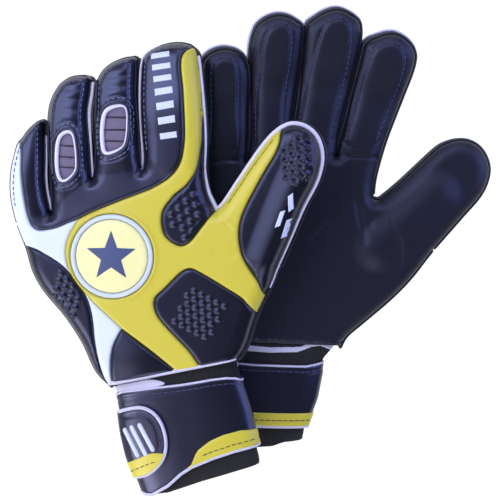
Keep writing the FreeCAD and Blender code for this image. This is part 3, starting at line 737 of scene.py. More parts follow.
def cover(glove, name, region, look, back=True, thick=1.5, roll=1.8, step=2.4, holes=(), relief=None,
          sink=0.8, ground=None, track=True, nodes=None, clip=True, on_tab=False):
    """Padded cover over part of a glove: closed shells with a rolled edge, cut at the digits."""
    everywhere = np.array([(-400.0, -400), (400, -400), (400, 400), (-400, 400)])
    outline = glove.outline if clip else everywhere
    flat, faces = triangulate(glove, outline, region, holes, step, roll)
    depth = np.minimum(edge_distance(flat, region), edge_distance(flat, outline))
    for hole in holes:
        depth = np.minimum(depth, edge_distance(flat, hole))
    base = ground(flat) if ground else glove.height(flat, back)
    sign = 1 if back else -1
    swell = thick * dome(depth / roll)
    if relief is not None:
        swell = swell + relief(glove, flat, depth)
    top = at_level(flat, base + sign * swell)
    bottom = at_level(flat, base - sign * sink)
    if track:
        glove.skins[back].append(top)
        glove.finders.pop(back, None)
    faces = turned(faces, sign * glove.face < 0)
    regions = glove.digit_at(flat[faces].mean(1))
    smooth = vertex_normals(glove.place(top), faces)
    home = np.full(len(flat), -9)
    home[faces] = regions[:, None]
    shared = np.zeros(len(flat), bool)
    for corner in range(3):
        shared |= np.bincount(faces[:, corner], home[faces[:, corner]] != regions, len(flat)) > 0
    pieces = {}
    for index in np.unique(regions):
        digit = None if index < 0 else DIGITS[index]
        used, part = np.unique(faces[regions == index], return_inverse=True)
        part = part.reshape(-1, 3)
        upper = glove.place(top[used], digit)
        lower = glove.place(bottom[used], digit)
        points, all_faces = shell(upper, lower, part)
        own = vertex_normals(upper, part)
        own[shared[used]] = smooth[used][shared[used]]
        pieces[digit] = add_piece(glove, name, digit, points, all_faces, look, on_tab,
                                  np.vstack([own, -own]))
    hand_node, tip_node = nodes or (None, None)
    for digit, piece in pieces.items():
        if digit is None and hand_node:
            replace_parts(piece, f"{glove.side}_{hand_node}")
        if digit and tip_node:
            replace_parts(piece, f"{glove.side}_{digit}_{tip_node}")
    return pieces


def mark(glove, name, corners, look, thick=0.3, step=1.1, inner_step=1.3):
    """Thin flat-topped shape with straight sides, lying on the covers of the back."""
    cover(glove, name, polygon(corners, step), look, thick=thick, roll=0.35, step=inner_step,
          sink=0.3, track=False, ground=glove.skin)


def sweep(path, radius, around=8, flat=1.0):
    """Tube along a path in a glove's plane, with round ends; flat squeezes it in height."""
    path = np.asarray(path, float)
    along = np.gradient(path, axis=0)
    along /= np.maximum(lengths(along), 1e-9)[:, None]
    up = np.tile([0.0, 0.0, 1.0], (len(path), 1))
    across = np.cross(along, up)
    across /= np.maximum(lengths(across), 1e-9)[:, None]
    up = np.cross(across, along)
    last = len(path) - 1
    rings = [0, 0] + list(range(len(path))) + [last, last]
    shares = [0.45, 0.85] + [1] * len(path) + [0.85, 0.45]
    shifts = [-0.9, -0.5] + [0] * len(path) + [0.5, 0.9]
    radius = np.broadcast_to(radius, len(path))[rings]
    sizes = (radius * shares)[:, None, None]
    angles = np.arange(around) * 2 * math.pi / around
    middles = path[rings] + along[rings] * (radius * shifts)[:, None]
    points = (middles[:, None] + across[rings][:, None] * sizes * np.cos(angles)[:, None]
              + up[rings][:, None] * sizes * flat * np.sin(angles)[:, None]).reshape(-1, 3)
    faces = []
    for ring in range(len(rings) - 1):
        for side in range(around):
            a, b = ring * around + side, ring * around + (side + 1) % around
            faces += [(a, b, b + around), (a, b + around, a + around)]
    end = (len(rings) - 1) * around
    for side in range(1, around - 1):
        faces += [(0, side + 1, side), (end, end + side, end + side + 1)]
    return points, np.array(faces)


def tube(glove, name, path, radius, look, digit=None, flat=1.0, on_tab=False):
    points, faces = sweep(path, radius, flat=flat)
    faces = turned(faces, glove.face > 0)
    return add_piece(glove, name, digit, glove.place(points, digit), faces, look, on_tab)


def stitches(glove, name, lines, look, back=True, length=2.3, gap=1.3, radius=0.33, lift=0.1,
             height=None, on_tab=False):
    """Rows of short threads laid along lines on the covers, one piece for the hand and each digit."""
    bundles = {}
    sign = 1 if back else -1
    for line in lines:
        line = np.asarray(line, float)
        starts = np.arange(gap, way_along(line)[-1] - length, length + gap)
        if not len(starts):
            continue
        flat = points_at(line, np.concatenate([starts, starts + length / 2, starts + length]))
        heights = (height(flat) if height else glove.skin(flat, back)) + sign * lift
        solid = at_level(flat, heights).reshape(3, len(starts), 3)
        middles = flat.reshape(3, -1, 2)[1]
        on_glove = is_inside(middles, glove.outline) | (height is not None)
        for index, region in enumerate(glove.digit_at(middles)):
            if on_glove[index]:
                thread = solid[:, index].copy()
                thread[1, 2] += sign * THREAD_ARCH
                bundles.setdefault(region, []).append(sweep(thread, radius, around=5))
    for region, threads in bundles.items():
        digit = None if region < 0 else DIGITS[region]
        count = len(threads[0][0])
        points = np.vstack([own for own, _ in threads])
        faces = np.vstack([own + index * count for index, (_, own) in enumerate(threads)])
        faces = turned(faces, glove.face > 0)
        add_piece(glove, name, digit, glove.place(points, digit), faces, look, on_tab=on_tab)


def grid_shell(outer, inner, closed=False):
    """Closed shell between two grids of the same size: rows by columns of points."""
    rows, columns = outer.shape[:2]
    count = rows * columns
    points = np.vstack([outer.reshape(-1, 3), inner.reshape(-1, 3)])
    faces = []
    last = columns if closed else columns - 1

    def add_wall(a, b):
        faces.extend([(a, b, b + count), (a, b + count, a + count)])

    for row in range(rows - 1):
        for column in range(last):
            a = row * columns + column
            b = row * columns + (column + 1) % columns
            c, d = b + columns, a + columns
            faces += [(a, b, c), (a, c, d), (a + count, c + count, b + count),
                      (a + count, d + count, c + count)]
    below = (rows - 1) * columns
    for column in range(last):
        beside = (column + 1) % columns
        faces += [(beside, column, column + count), (beside, column + count, beside + count)]
        add_wall(column + below, beside + below)
    for row in range(0 if closed else rows - 1):
        a, b = row * columns, (row + 1) * columns
        add_wall(a, b)
        a, b = a + columns - 1, b + columns - 1
        faces += [(b, a, a + count), (b, a + count, b + count)]
    return points, np.array(faces)


# ---------------------------------------------------------------- materials

def new_material(name, color, roughness, settings):
    material = bpy.data.materials.new(name)
    material.use_nodes = True
    surface = material.node_tree.nodes["Principled BSDF"]
    for key, value in {"Base Color": (*color, 1), "Roughness": roughness, **settings}.items():
        surface.inputs[key].default_value = value
    return material


def add_bump(material, texture, settings, strength, distance):
    """Bumps from a procedural texture, on top of those that the material has already."""
    tree = material.node_tree
    surface = tree.nodes["Principled BSDF"]
    place = tree.nodes.new("ShaderNodeTexCoord")
    pattern = tree.nodes.new(texture)
    for key, value in settings.items():
        pattern.inputs[key].default_value = value
    bump = tree.nodes.new("ShaderNodeBump")
    bump.inputs["Strength"].default_value = strength
    bump.inputs["Distance"].default_value = distance
    tree.links.new(place.outputs["Object"], pattern.inputs["Vector"])
    tree.links.new(pattern.outputs["Fac"], bump.inputs["Height"])
    for link in list(surface.inputs["Normal"].links):
        tree.links.new(link.from_socket, bump.inputs["Normal"])
    tree.links.new(bump.outputs["Normal"], surface.inputs["Normal"])
    return pattern


def leather(name, color, roughness, gloss=0.5, coat=0.0, tint=(0.9, 0.92, 1.0)):
    """Coated leather or foam with a fine grain and faint broad dents."""
    material = new_material(name, color, roughness, {
        "Specular IOR Level": gloss, "Specular Tint": (*tint, 1), "Coat Weight": coat,
        "Coat Roughness": 0.25})
    add_bump(material, "ShaderNodeTexNoise", {"Scale": 55, "Detail": 1}, 0.35, 0.0006)
    add_bump(material, "ShaderNodeTexNoise", {"Scale": 1600, "Detail": 2}, 0.15, 0.0002)
    return material


def cloth(name, color, rows, depth):
    """Knitted or ribbed cloth with fine rows."""
    material = new_material(name, color, 0.85, {"Sheen Weight": 0.06, "Sheen Roughness": 0.5})
    wave = add_bump(material, "ShaderNodeTexWave", {"Scale": rows, "Distortion": 1.5, "Detail": 2},
                    0.8, depth)
    wave.bands_direction = "Y"
    return material


# Each look is a material and the slot of the record that it stands for.
VIOLET = (0.55, 0.58, 1.0)                     # tint of the shine on the black covers
DEEP_BLUE = (0.55, 0.6, 1.0)                   # and on the palms
CLEAR = (1, 1, 1)
BLACK = (leather("black_cover", (0.007, 0.007, 0.014), 0.29, 1.0, tint=VIOLET), "black_cover")
PAD = (leather("black_pad", (0.004, 0.004, 0.008), 0.3, 0.8, tint=VIOLET), "black_cover")
PALM = (leather("black_palm", (0.009, 0.009, 0.014), 0.44, 0.6, tint=DEEP_BLUE), "black_palm")
YELLOW = (leather("yellow_cover", (0.6, 0.52, 0.055), 0.34, tint=CLEAR), "yellow_cover")
DISC = (leather("badge_disc", (0.88, 0.84, 0.42), 0.3, coat=0.3, tint=CLEAR), "yellow_cover")
WHITE = (leather("white_cover", (0.68, 0.75, 0.95), 0.34, tint=CLEAR), "white_cover")
RING = (leather("badge_ring", (0.6, 0.68, 0.95), 0.36, tint=CLEAR), "white_cover")
STAR = (leather("badge_star", (0.06, 0.08, 0.2), 0.4), "black_cover")
SILVER = (leather("silver_bar", (0.6, 0.66, 0.88), 0.35, tint=CLEAR), "white_cover")
GUSSET = (leather("gusset", (0.01, 0.01, 0.018), 0.5), "gusset")
WELT = (leather("welt", (0.011, 0.011, 0.024), 0.42), "gusset")
PIPING = (leather("piping", (0.72, 0.7, 0.92), 0.5, tint=CLEAR), "piping")
MESH = (cloth("vent_mesh", (0.21, 0.17, 0.29), 520, 0.0004), "vent_mesh")
ELASTIC = (cloth("elastic", (0.007, 0.007, 0.011), 420, 0.0003), "elastic")
LINING = (cloth("lining", (0.006, 0.006, 0.01), 380, 0.0004), "lining")
HOOK = (cloth("hook", (0.02, 0.02, 0.028), 700, 0.0004), "hook")
BINDING = (cloth("binding", (0.72, 0.71, 0.95), 900, 0.0002), "piping")
THREAD = (leather("thread", (0.045, 0.05, 0.13), 0.5), "elastic")
# Blue thread made lighter to paint in the highlights that its stitches catch.
PAINTED_GLINT_THREAD = (leather("painted_glint_thread", (0.11, 0.13, 0.28), 0.4, tint=CLEAR), "elastic")
DARK_THREAD = (leather("dark_thread", (0.02, 0.02, 0.03), 0.6), "elastic")


# ---------------------------------------------------------------- raised details

def dots(points, centre, turn, counts, pitch, radius, rise):
    """Relief of a turned grid of round studs about a centre."""
    turn = math.radians(turn)
    right = np.array([math.cos(turn), math.sin(turn)])
    up = np.array([-right[1], right[0]])
    offset = points - np.array(centre)
    a = offset @ right / pitch[0] + (counts[0] - 1) / 2
    b = offset @ up / pitch[1] + (counts[1] - 1) / 2
    row = np.clip(np.round(b), 0, counts[1] - 1)
    shift = 0.5 * (row % 2)
    column = np.clip(np.round(a - shift), 0, counts[0] - 1)
    gap = np.hypot((a - shift - column) * pitch[0], (b - row) * pitch[1])
    return rise * hump(gap / radius)


def groove(points, line, half_width, depth=1.0):
    """Relief of a groove along an open line."""
    return -depth * hump(edge_distance(points, line, closed=False) / half_width)


def black_relief(glove, points, depth):
    """Stitched margins round the fingers, soft ribs on two fingertips and welts round the windows."""
    rim = edge_distance(points, glove.outline)
    raised = np.zeros(len(points))
    for name in FINGERS:
        digit = glove.digits[name]
        mine = is_inside(points, digit.edge)
        forward = digit.forward(points)
        fade = smoothstep(edge_distance(points, digit.cut, closed=False) / 9) * mine
        raised += fade * (0.9 * smoothstep((rim - 3.0) / 1.6) - 0.55 * hump((rim - 3.3) / 0.9))
        if name in RIBS:
            start, end, pitch = RIBS[name]
            arch = forward - 0.02 * digit.sideways(points) ** 2
            share = smoothstep((arch - start) / 3) * smoothstep((end - arch) / 4)
            share = share * smoothstep((rim - 3.4) / 2.5) * mine
            raised += share * RIB_RISE * (np.abs(np.sin(math.pi * (arch - start) / pitch)) ** 0.7 - 0.8)
    for window in WINDOWS.values():
        gap = edge_distance(points, glove.line(window, 1.0, closed=True))
        raised += 0.9 * hump((gap - 1.0) / 3.4) - 0.5 * hump((gap - 4.6) / 1.2)
    return raised * smoothstep(depth / 1.5)


def studs(centre, turn, counts, pitch, radius=2.15, rise=0.95):
    def relief(glove, points, depth):
        here = glove.fit([centre])[0]
        return dots(points, here, turn, counts, pitch, radius, rise) * smoothstep((depth - 2) / 2)
    return relief


def wrist_pad_relief(glove, points, depth):
    """Low round crown."""
    return 1.3 * hump(lengths(points - glove.fit([(-19, 15)])[0]) / 21) * smoothstep(depth / 2)


def thumb_relief(glove, points, depth):
    """Long rounded ridge and a cluster of honeycomb cells at the thumb's tip."""
    raised = 2.2 * hump(edge_distance(points, glove.line(RIDGE, 1.5), closed=False) / 14)
    digit = glove.digits["thumb"]
    offset = points - glove.fit([HONEY_CENTRE])[0]
    row_pitch = HONEY_PITCH * HEX_ROW
    best = np.full(len(points), 99.0)
    for row in range(-3, 4):
        for column in range(-2, 3):
            place = column + 0.5 * (row % 2)
            if np.hypot((place - 0.25) / 2.4, row / 3.4) <= 1:
                gap = np.hypot(offset @ digit.across - place * HONEY_PITCH,
                               offset @ digit.along - row * row_pitch)
                best = np.minimum(best, gap)
    cells = 0.8 * hump((best - 2.3) / 0.85) - 0.4 * hump(best / 1.6)
    return (raised + cells) * smoothstep((depth - 0.8) / 2)


def yellow_relief(glove, points, depth):
    """A round boss under the badge and faint folds by the thumb."""
    gap = lengths(points - glove.fit([BADGE_CENTRE])[0])
    raised = 0.9 * smoothstep((BOSS_RADIUS - gap) / 2.2)
    for fold in FOLDS:
        raised += groove(points, glove.line(fold, 1.5), 1.1, 0.45)
    return raised * smoothstep(depth / 1.5)


def white_relief(glove, points, depth):
    """The same boss, with a softer edge."""
    gap = lengths(points - glove.fit([BADGE_CENTRE])[0])
    return 0.7 * smoothstep((BOSS_RADIUS + 2 - gap) / 3) * smoothstep(depth / 1.5)


def palm_relief(glove, points, depth):
    """Raised inner panels on the fingers, stitched seams and creases across the palm."""
    rim = edge_distance(points, glove.outline)
    raised = -0.35 * hump((rim - 2.6) / 1.2)
    seam = glove.line(PALM_SEAM_LINE, 2.0, "right")
    fade = smoothstep(edge_distance(points, seam, closed=False) / 8 - 0.4)
    for panel in PALM_PANELS.values():
        loop = glove.line(panel, 1.2, "right", closed=True)
        gap = edge_distance(points, loop)
        panel_rise = np.where(is_inside(points, loop), 0.5 * smoothstep(gap / 2), 0)
        raised += fade * (panel_rise - 0.6 * hump(gap / 1.1))
    for line, deep, wide in ((PALM_SEAM_LINE, 0.8, 1.1), (THUMB_CREASE, 0.6, 1.0)):
        raised += groove(points, glove.line(line, 1.2, "right"), wide, deep)
    thumb = glove.digits["thumb"]
    mound = np.array([thumb.at(0, 22), thumb.at(0, 5), thumb.at(-3, -26)])
    raised += 3.2 * hump(edge_distance(points, mound, closed=False) / 17) * smoothstep(rim / 8)
    for crease in PALM_CREASES:
        path = glove.line(crease, 1.2, "right")
        ends = np.minimum(lengths(points - path[0]), lengths(points - path[-1]))
        raised += groove(points, path, 3.5, 0.7) * smoothstep(ends / 9)
    return raised


# ---------------------------------------------------------------- the hand

def region(glove, *lines):
    """Closed region between seams carried over to this glove; the outline cuts it later."""
    return joined(*[glove.fit(line) for line in lines], step=1.5)


def back_of_hand(glove):
    """The black, white and yellow covers, the badge, five pads and two windows."""
    seen = glove.side == "left"
    step = 1.5 if seen else 2.4
    fine = 0.75 if seen else 1.1
    windows = [glove.line(window, 1.0, closed=True) for window in WINDOWS.values()]
    black = region(glove, LITTLE_SEAM, KNUCKLE_SEAM, INDEX_SEAM,
                   *sides((56, 187), (60, 215), (-10, 222), (-75, 190), (-74, 158)))
    cover(glove, "black_cover", black, BLACK, step=min(step, 1.2), holes=windows, relief=black_relief,
          nodes=("back_body", "back_tip"))
    white = region(glove, *sides((-74, 158), (-95, 130), (-82, 98)), ULNAR_SEAM,
                   *sides((-41, 4), (-37.5, 4)), WRIST_SEAM, BOSS_SEAM[::-1], LITTLE_SEAM[::-1])
    cover(glove, "white_cover", white, WHITE, step=step, relief=white_relief, nodes=("white_panel", None))
    centre = glove.fit([BADGE_CENTRE])[0]
    yellow = region(glove, KNUCKLE_SEAM, INDEX_SEAM, [(56, 187), (58, 156)], WEB_SEAM,
                    *sides((51, 97), (62, 115), (94, 140)), THUMB_SEAM, [(65, 32), (62, 22)],
                    CENTRE_SEAM, [(17.5, 4), (3.5, 4)], STRAP_SEAM[::-1], BOSS_SEAM[::-1])
    cover(glove, "yellow_cover", yellow, YELLOW, step=step, relief=yellow_relief,
          holes=[circle(centre, BADGE_RING)], nodes=("yellow_panel", None))
    badge(glove, centre)
    pads = {
        "ulnar_pad": ([ULNAR_SEAM, *sides((-41, 4), (-60, 0), (-90, 60), (-82, 98))], fine,
                      studs((-53.5, 58.5), 62, (6, 4), (5.0, 4.6), 2.2)),
        "centre_pad": ([CENTRE_SEAM, *sides((17.5, 4), (45, 4), (66, 14), (62, 22))], fine,
                       studs((23, 36), -38, (5, 6), (5.0, 4.3), 1.9)),
        "web_pad": ([WEB_SEAM, *sides((51, 97), (60, 125), (58, 156))], fine,
                    studs((27.5, 94), 30, (4, 5), (6.0, 5.2))),
        "thumb_pad": ([THUMB_SEAM, *sides((65, 32), (95, 40), (135, 100), (120, 145), (94, 140))],
                      0.75 * fine, thumb_relief),
        "wrist_pad": ([WRIST_SEAM, STRAP_SEAM, [(3.5, 4), (-37.5, 4)]], fine, wrist_pad_relief),
    }
    made = {}
    for name, (lines, pad_step, relief) in pads.items():
        made[name] = cover(glove, name, region(glove, *lines), PAD, step=pad_step, relief=relief,
                           thick=1.7, roll=2.4)
    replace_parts(made["centre_pad"][None], f"{glove.side}_grip_pads")
    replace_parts(made["thumb_pad"]["thumb"], f"{glove.side}_thumb_back_tip")
    for name, loop in zip(WINDOWS, windows):
        window(glove, name, loop)


def badge(glove, centre):
    """Raised disc with a plain star, inside a pale ring."""
    cover(glove, "badge_ring", circle(centre, BADGE_RING - 0.1), RING, holes=[circle(centre, BADGE_RADIUS)],
          thick=1.6, roll=0.9, step=1.5, sink=0.3, relief=lambda glove, points, depth: 0.6)
    disc = cover(glove, "badge", circle(centre, BADGE_RADIUS - 0.1), DISC, thick=2.2, roll=1.8, step=1.8,
                 sink=0.3, relief=lambda glove, points, depth: 0.8 * smoothstep(depth / 20))
    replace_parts(disc[None], f"{glove.side}_badge")
    points = []
    for corner in range(2 * STAR_POINTS):
        radius = STAR_RADII[corner % 2]
        angle = math.radians(90 - STAR_LEAN + 180 / STAR_POINTS * corner)
        points.append((centre[0] + radius * math.cos(angle), centre[1] + radius * math.sin(angle)))
    mark(glove, "badge_star", points, STAR, step=1.2, inner_step=1.5)


def window(glove, name, loop):
    """Ribbed mesh in an oblong window with a pale rim."""
    mesh = cover(glove, f"vent_mesh_{name}", loop, MESH, thick=0.4, roll=0.6, step=1.2, sink=0.6,
                 relief=lambda glove, points, depth: 0.12 * np.sin(points[:, 1] * 1.5), track=False)
    if name == "middle":
        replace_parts(next(iter(mesh.values())), f"{glove.side}_vent_mesh")
    middle = loop.mean(0)
    index = glove.digit_at(middle[None])[0]
    digit = None if index < 0 else DIGITS[index]
    one = glove.digits[digit or name]
    for index, along in enumerate((-5.5, 0.5, 6.5)):
        line = middle + one.along * along + one.across * np.linspace(-9, 9, 40)[:, None]
        line = line[is_inside(line, loop)]
        path = at_level(line, glove.height(line, True) + 0.5)
        tube(glove, f"window_rib_{name}_{index}", path, 0.4, WELT, digit)
    path = np.vstack([loop, loop[:2]])
    share = np.clip((path - middle) @ one.across / 7, -1, 1)
    path = at_level(path, glove.height(path, True) + 1.6)
    tube(glove, f"window_rim_{name}", path, 0.95 - 0.45 * share, PIPING, digit)


def palm_of_hand(glove):
    low, high = glove.outline.min(0) - 5, glove.outline.max(0) + 5
    corners = [(low[0], 3.0), (high[0], 3.0), tuple(high), (low[0], high[1])]
    cover(glove, "palm", polygon(corners, 4), PALM, back=False, thick=0.9, roll=1.2,
          step=1.4 if glove.side == "right" else 2.6, relief=palm_relief, nodes=("palm_panel", "palm_tip"))


def side_band(glove, name, edge, digit, node):
    """Side wall between the back and the palm along part of the outline."""
    rows = 6
    levels = np.linspace(BACK_SEAM + 0.4, PALM_SEAM - 0.4, rows)
    bulge = 0.15 + 0.8 * (1 - np.linspace(-1, 1, rows) ** 2)
    outer = [at_level(grown_open(edge, out), level) for level, out in zip(levels, bulge)]
    inner = [at_level(grown_open(edge, -GUSSET_THICK), level) for level in levels]
    points, faces = grid_shell(np.array(outer), np.array(inner))
    piece = add_piece(glove, name, digit, glove.place(points, digit), turned(faces, glove.face < 0),
                      GUSSET)
    if node:
        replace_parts(piece, f"{glove.side}_{node}")


def sides_of_hand(glove):
    for index, edge in enumerate(glove.hand_edges):
        side_band(glove, f"side_gusset_{index}", edge, None, None if index else "side_gusset")
    for name, digit in glove.digits.items():
        side_band(glove, "gusset", digit.edge, name, f"{name}_tip_gusset")


def edge_line(edge, level, out, start=0.0, end=1.0):
    """Part of an outline edge as a path at a level, moved outwards."""
    path = smooth_line(grown_open(edge, out)[::3], 1.6)
    first, last = int(start * (len(path) - 1)), int(round(end * (len(path) - 1)))
    return at_level(path[first:last + 1], level)


def piping_of_hand(glove):
    """Dark welts in the seams all round, and pale cords between the fingers and round the thumb."""
    welts = [("", digit.edge, name) for name, digit in glove.digits.items()]
    welts += [(f"_{index}", edge, None) for index, edge in enumerate(glove.hand_edges)]
    for ending, edge, name in welts:
        palm_out = 1.3 if name == "thumb" and glove.side == "left" else 0.2
        back_path = edge_line(edge, BACK_SEAM + 0.2, 0.1)
        tube(glove, f"back_welt{ending}", back_path, 1.0, WELT, name)
        palm_path = edge_line(edge, PALM_SEAM - 0.2, palm_out)
        tube(glove, f"palm_welt{ending}", palm_path, 1.2, WELT, name)
    for name, (start, end, widths, out, level) in CORDS[glove.side].items():
        edge = glove.digits[name].edge
        if name == "thumb":
            edge = np.vstack([edge, glove.hand_edges[1][1:10]])
        path = edge_line(edge, BACK_SEAM + level, out, start, end)
        cord = tube(glove, "piping", path, spread(widths, len(path)), PIPING, name)
    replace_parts(cord, f"{glove.side}_piping")
    if glove.side == "left":
        path = edge_line(glove.digits["index"].edge, BACK_SEAM + 1.0, 0.7, 0.55, 1.0)
        widths = np.interp(np.linspace(0, 1, len(path)), [0, 0.72, 1], [1.0, 0.7, 1.5])
        tube(glove, "piping_side", path, widths, PIPING, "index")


def seam_threads(glove):
    """Stitches on the back of the hand."""
    margins = []
    for name in FINGERS:
        digit = glove.digits[name]
        inset = grown_open(digit.edge, -MARGIN)
        inset = inset[edge_distance(inset, glove.outline) > 3.1]
        line = smooth_line(inset[::4], 1.5)
        keep = digit.forward(line) > -24
        if name == "index":
            keep &= digit.sideways(line) < 0
        margins.append(line[keep])
    loops = [grown(glove.line(window, 1.0, closed=True), 3.6) for window in WINDOWS.values()]
    around = [np.vstack([loop, loop[:1]]) for loop in loops]
    # The margin and window stitches use the lighter thread: blue thread with a painted highlight.
    painted_glint_stitching = {"look": PAINTED_GLINT_THREAD, "length": 1.5, "gap": 1.6, "lift": 0.25}
    stitches(glove, "margin_threads", margins, **painted_glint_stitching)
    stitches(glove, "window_threads", around, **painted_glint_stitching)
    stitches(glove, "yellow_threads", [glove.line(line, 1.5) for line in (THUMB_THREAD, INDEX_THREAD)],
             DARK_THREAD, length=3.2, gap=0.6, radius=0.25)


def index_bars(glove):
    """Seven plain raised bars down the index finger, where a name would be."""
    line = glove.line(INDEX_BARS, 1.0)
    for index, place in enumerate(np.linspace(0, len(line) - 1, BAR_COUNT).astype(int)):
        along = line[min(place + 1, len(line) - 1)] - line[max(place - 1, 0)]
        along /= np.linalg.norm(along)
        across = np.array([along[1], -along[0]]) * (BAR_HALF_LONG - 0.1 * index)
        corners = [line[place] + across * a + along * b * BAR_HALF_WIDE
                   for a, b in ((-1, -1), (1, -1), (1, 1), (-1, 1))]
        mark(glove, f"index_bar_{index}", corners, SILVER)


def thumb_slashes(glove):
    """Three plain slanted bars by the thumb's outer edge."""
    for index, (start, end, half) in enumerate(THUMB_SLASHES):
        a, b = glove.fit([start, end])
        along = (b - a) / np.linalg.norm(b - a)
        across = np.array([along[1], -along[0]]) * half
        corners = [a - across, a + across + along * 2, b + across, b - across - along * 2]
        mark(glove, f"thumb_slash_{index}", corners, SILVER, thick=0.25)


def palm_threads(glove):
    """Stitches round the palm's finger panels and along the crease by the thumb."""
    stitches(glove, "crease_threads", [glove.line(THUMB_CREASE, 1.2, "right")], DARK_THREAD, back=False,
             gap=0.6, radius=0.25)
    panels = [glove.line(panel, 1.2, "right") for panel in PALM_PANELS.values()]
    stitches(glove, "palm_threads", panels, THREAD, back=False, length=2.0, gap=1.4)


# ---------------------------------------------------------------- the wrist

def signed_power(x, power):
    return np.sign(x) * np.abs(x) ** power


def wrist_share(angle):
    """Place across the wrist at an angle round it, from -1 by the little finger to 1 by the thumb."""
    return signed_power(np.cos(angle), 2 / SQUARENESS)


def wrist_size(glove, v):
    table = np.array(WRIST_SHAPE[glove.side][::-1], float)
    return np.interp(v, table[:, 0], table[:, 1]), np.interp(v, table[:, 0], table[:, 2])


def wrist_point(glove, angle, v, grow=0.0):
    """Point on the oblong section of the wrist; angle 0 is by the thumb, a quarter turn the back."""
    middle, half = wrist_size(glove, v)
    u = middle + (half + grow) * wrist_share(angle)
    w = WRIST_MIDDLE + (WRIST_HALF + grow) * signed_power(np.sin(angle), 2 / SQUARENESS)
    return np.stack(np.broadcast_arrays(u, v, w), axis=-1)


def wrist_skin(glove, lift, back=True):
    """Height function of the strap's face, raised by lift."""
    def height(flat):
        middle, half = wrist_size(glove, flat[:, 1])
        across = np.clip(np.abs(flat[:, 0] - middle) / (half + lift), 0, 0.992)
        rise = (WRIST_HALF + lift) * (1 - across ** SQUARENESS) ** (1 / SQUARENESS)
        return WRIST_MIDDLE + (rise if back else -rise)
    return height


def wrist_edge(glove, tables):
    """Function from an angle round the wrist to v, from an edge's tables for the back and the palm."""
    def edge(angles):
        values = []
        for angle in angles:
            table = np.array(tables[(glove.side, math.sin(angle) >= 0)], float)
            values.append(np.interp(wrist_share(angle), table[:, 0], table[:, 1]))
        return np.array(values)
    return edge


def even_angles(start, end, count):
    """Angles round the wrist, closer together at its tight ends."""
    raw = np.linspace(start, end, count)
    return raw - 0.16 * np.sin(2 * raw)


def band(glove, name, top, end, grow, thick, look, arc=(0, 2 * math.pi), relief=None, rows=14,
         columns=150, roll=1.2):
    """Band round the wrist between two edges, with rolled edges and an open inside."""
    closed = arc[1] - arc[0] > 6.2
    angles = even_angles(*arc, columns + 1)
    if closed:
        angles = angles[:-1]
    top_v = top(angles) if callable(top) else np.full(len(angles), float(top))
    end_v = end(angles) if callable(end) else np.full(len(angles), float(end))
    outer, inner = [], []
    for share in 0.5 - 0.5 * np.cos(np.linspace(0, math.pi, rows)):
        v = top_v + (end_v - top_v) * share
        edge = np.minimum(top_v - v, v - end_v)
        lift = grow - 0.8 * thick * (1 - dome(edge / roll))
        if relief is not None:
            lift = lift + relief(angles, v, top_v - v, v - end_v)
        outer.append(wrist_point(glove, angles, v, lift))
        inner.append(wrist_point(glove, angles, v, grow - thick))
    points, faces = grid_shell(np.array(outer), np.array(inner), closed)
    return add_piece(glove, name, None, glove.place(points), turned(faces, glove.face < 0), look)


def wrist_line(glove, edge, lift, start, end, count=120, shift=0.0):
    angles = even_angles(start, end, count)
    return wrist_point(glove, angles, edge(angles) + shift, lift)


def gathers(angle, v, from_top, from_end):
    return 0.25 * np.sin(angle * 46) * smoothstep(from_top / 3) + 0.15 * np.sin(angle * 23 + v)


def knitted(angle, v, from_top, from_end):
    return 0.15 * np.sin(v * 3.1) + 0.3 * np.sin(3 * angle)


def strap_relief(angle, v, from_top, from_end):
    return -0.35 * hump((from_top - MARGIN) / 1.0)


def trim_relief(angle, v, from_top, from_end):
    return -0.3 * hump((from_end - TRIM_MARGIN) / 0.8)


def wrist(glove):
    """Stretch band, strap, inner cuff and the yellow trim, with bindings and threads."""
    full = (0, 2 * math.pi)
    strap_top = wrist_edge(glove, STRAP_TOP)
    strap_end = wrist_edge(glove, STRAP_END)
    trim_top = wrist_edge(glove, BAND_TOP)
    trim_arc = (-math.pi + 0.5, math.pi / 2 + 0.04) if glove.side == "left" else full
    bands = {
        "wrist_elastic": band(glove, "wrist_elastic", 8, -14, -1.3, 0.8, ELASTIC, relief=gathers,
                              columns=230),
        "wrist_strap": band(glove, "wrist_strap", strap_top, strap_end, 0.0, 1.6, BLACK,
                            relief=strap_relief, rows=26),
        "inner_cuff": band(glove, "inner_cuff", -8, wrist_edge(glove, CUFF_END), -2.2, 1.4, LINING,
                           rows=24, columns=200, relief=knitted),
        "strap_trim": band(glove, "strap_trim",
                           lambda angles: np.maximum(trim_top(angles), strap_end(angles) + 0.4), strap_end,
                           0.7, 1.0, YELLOW, arc=trim_arc, rows=12, relief=trim_relief),
    }
    for node, piece in bands.items():
        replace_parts(piece, f"{glove.side}_{node}")
    tube(glove, "strap_top_binding", wrist_line(glove, strap_top, -0.3, *full), 0.65, BINDING)
    tube(glove, "strap_end_binding", wrist_line(glove, strap_end, -0.2, *full), 0.95, BINDING)
    half = math.pi
    rows = [
        ("strap_threads_back", strap_top, (0.15, half - 0.15), -MARGIN, THREAD, -0.1, 0.33),
        ("strap_threads_palm", strap_top, (half + 0.15, 2 * half - 0.15), -MARGIN, THREAD, -0.1, 0.33),
        ("trim_threads_back", strap_end, (0.1, 1.5), TRIM_MARGIN, DARK_THREAD, 0.65, 0.25),
        ("trim_threads_palm", strap_end, (half + 0.1, 2 * half - 0.1), TRIM_MARGIN, DARK_THREAD, 0.65, 0.25),
    ]
    for name, edge, arc, shift, look, lift, radius in rows:
        back = name.endswith("back")
        line = wrist_line(glove, edge, 0, *arc, 90, shift)[:, :2]
        stitches(glove, name, [line], look, back=back, radius=radius,
                 height=wrist_skin(glove, lift, back), lift=0.0)


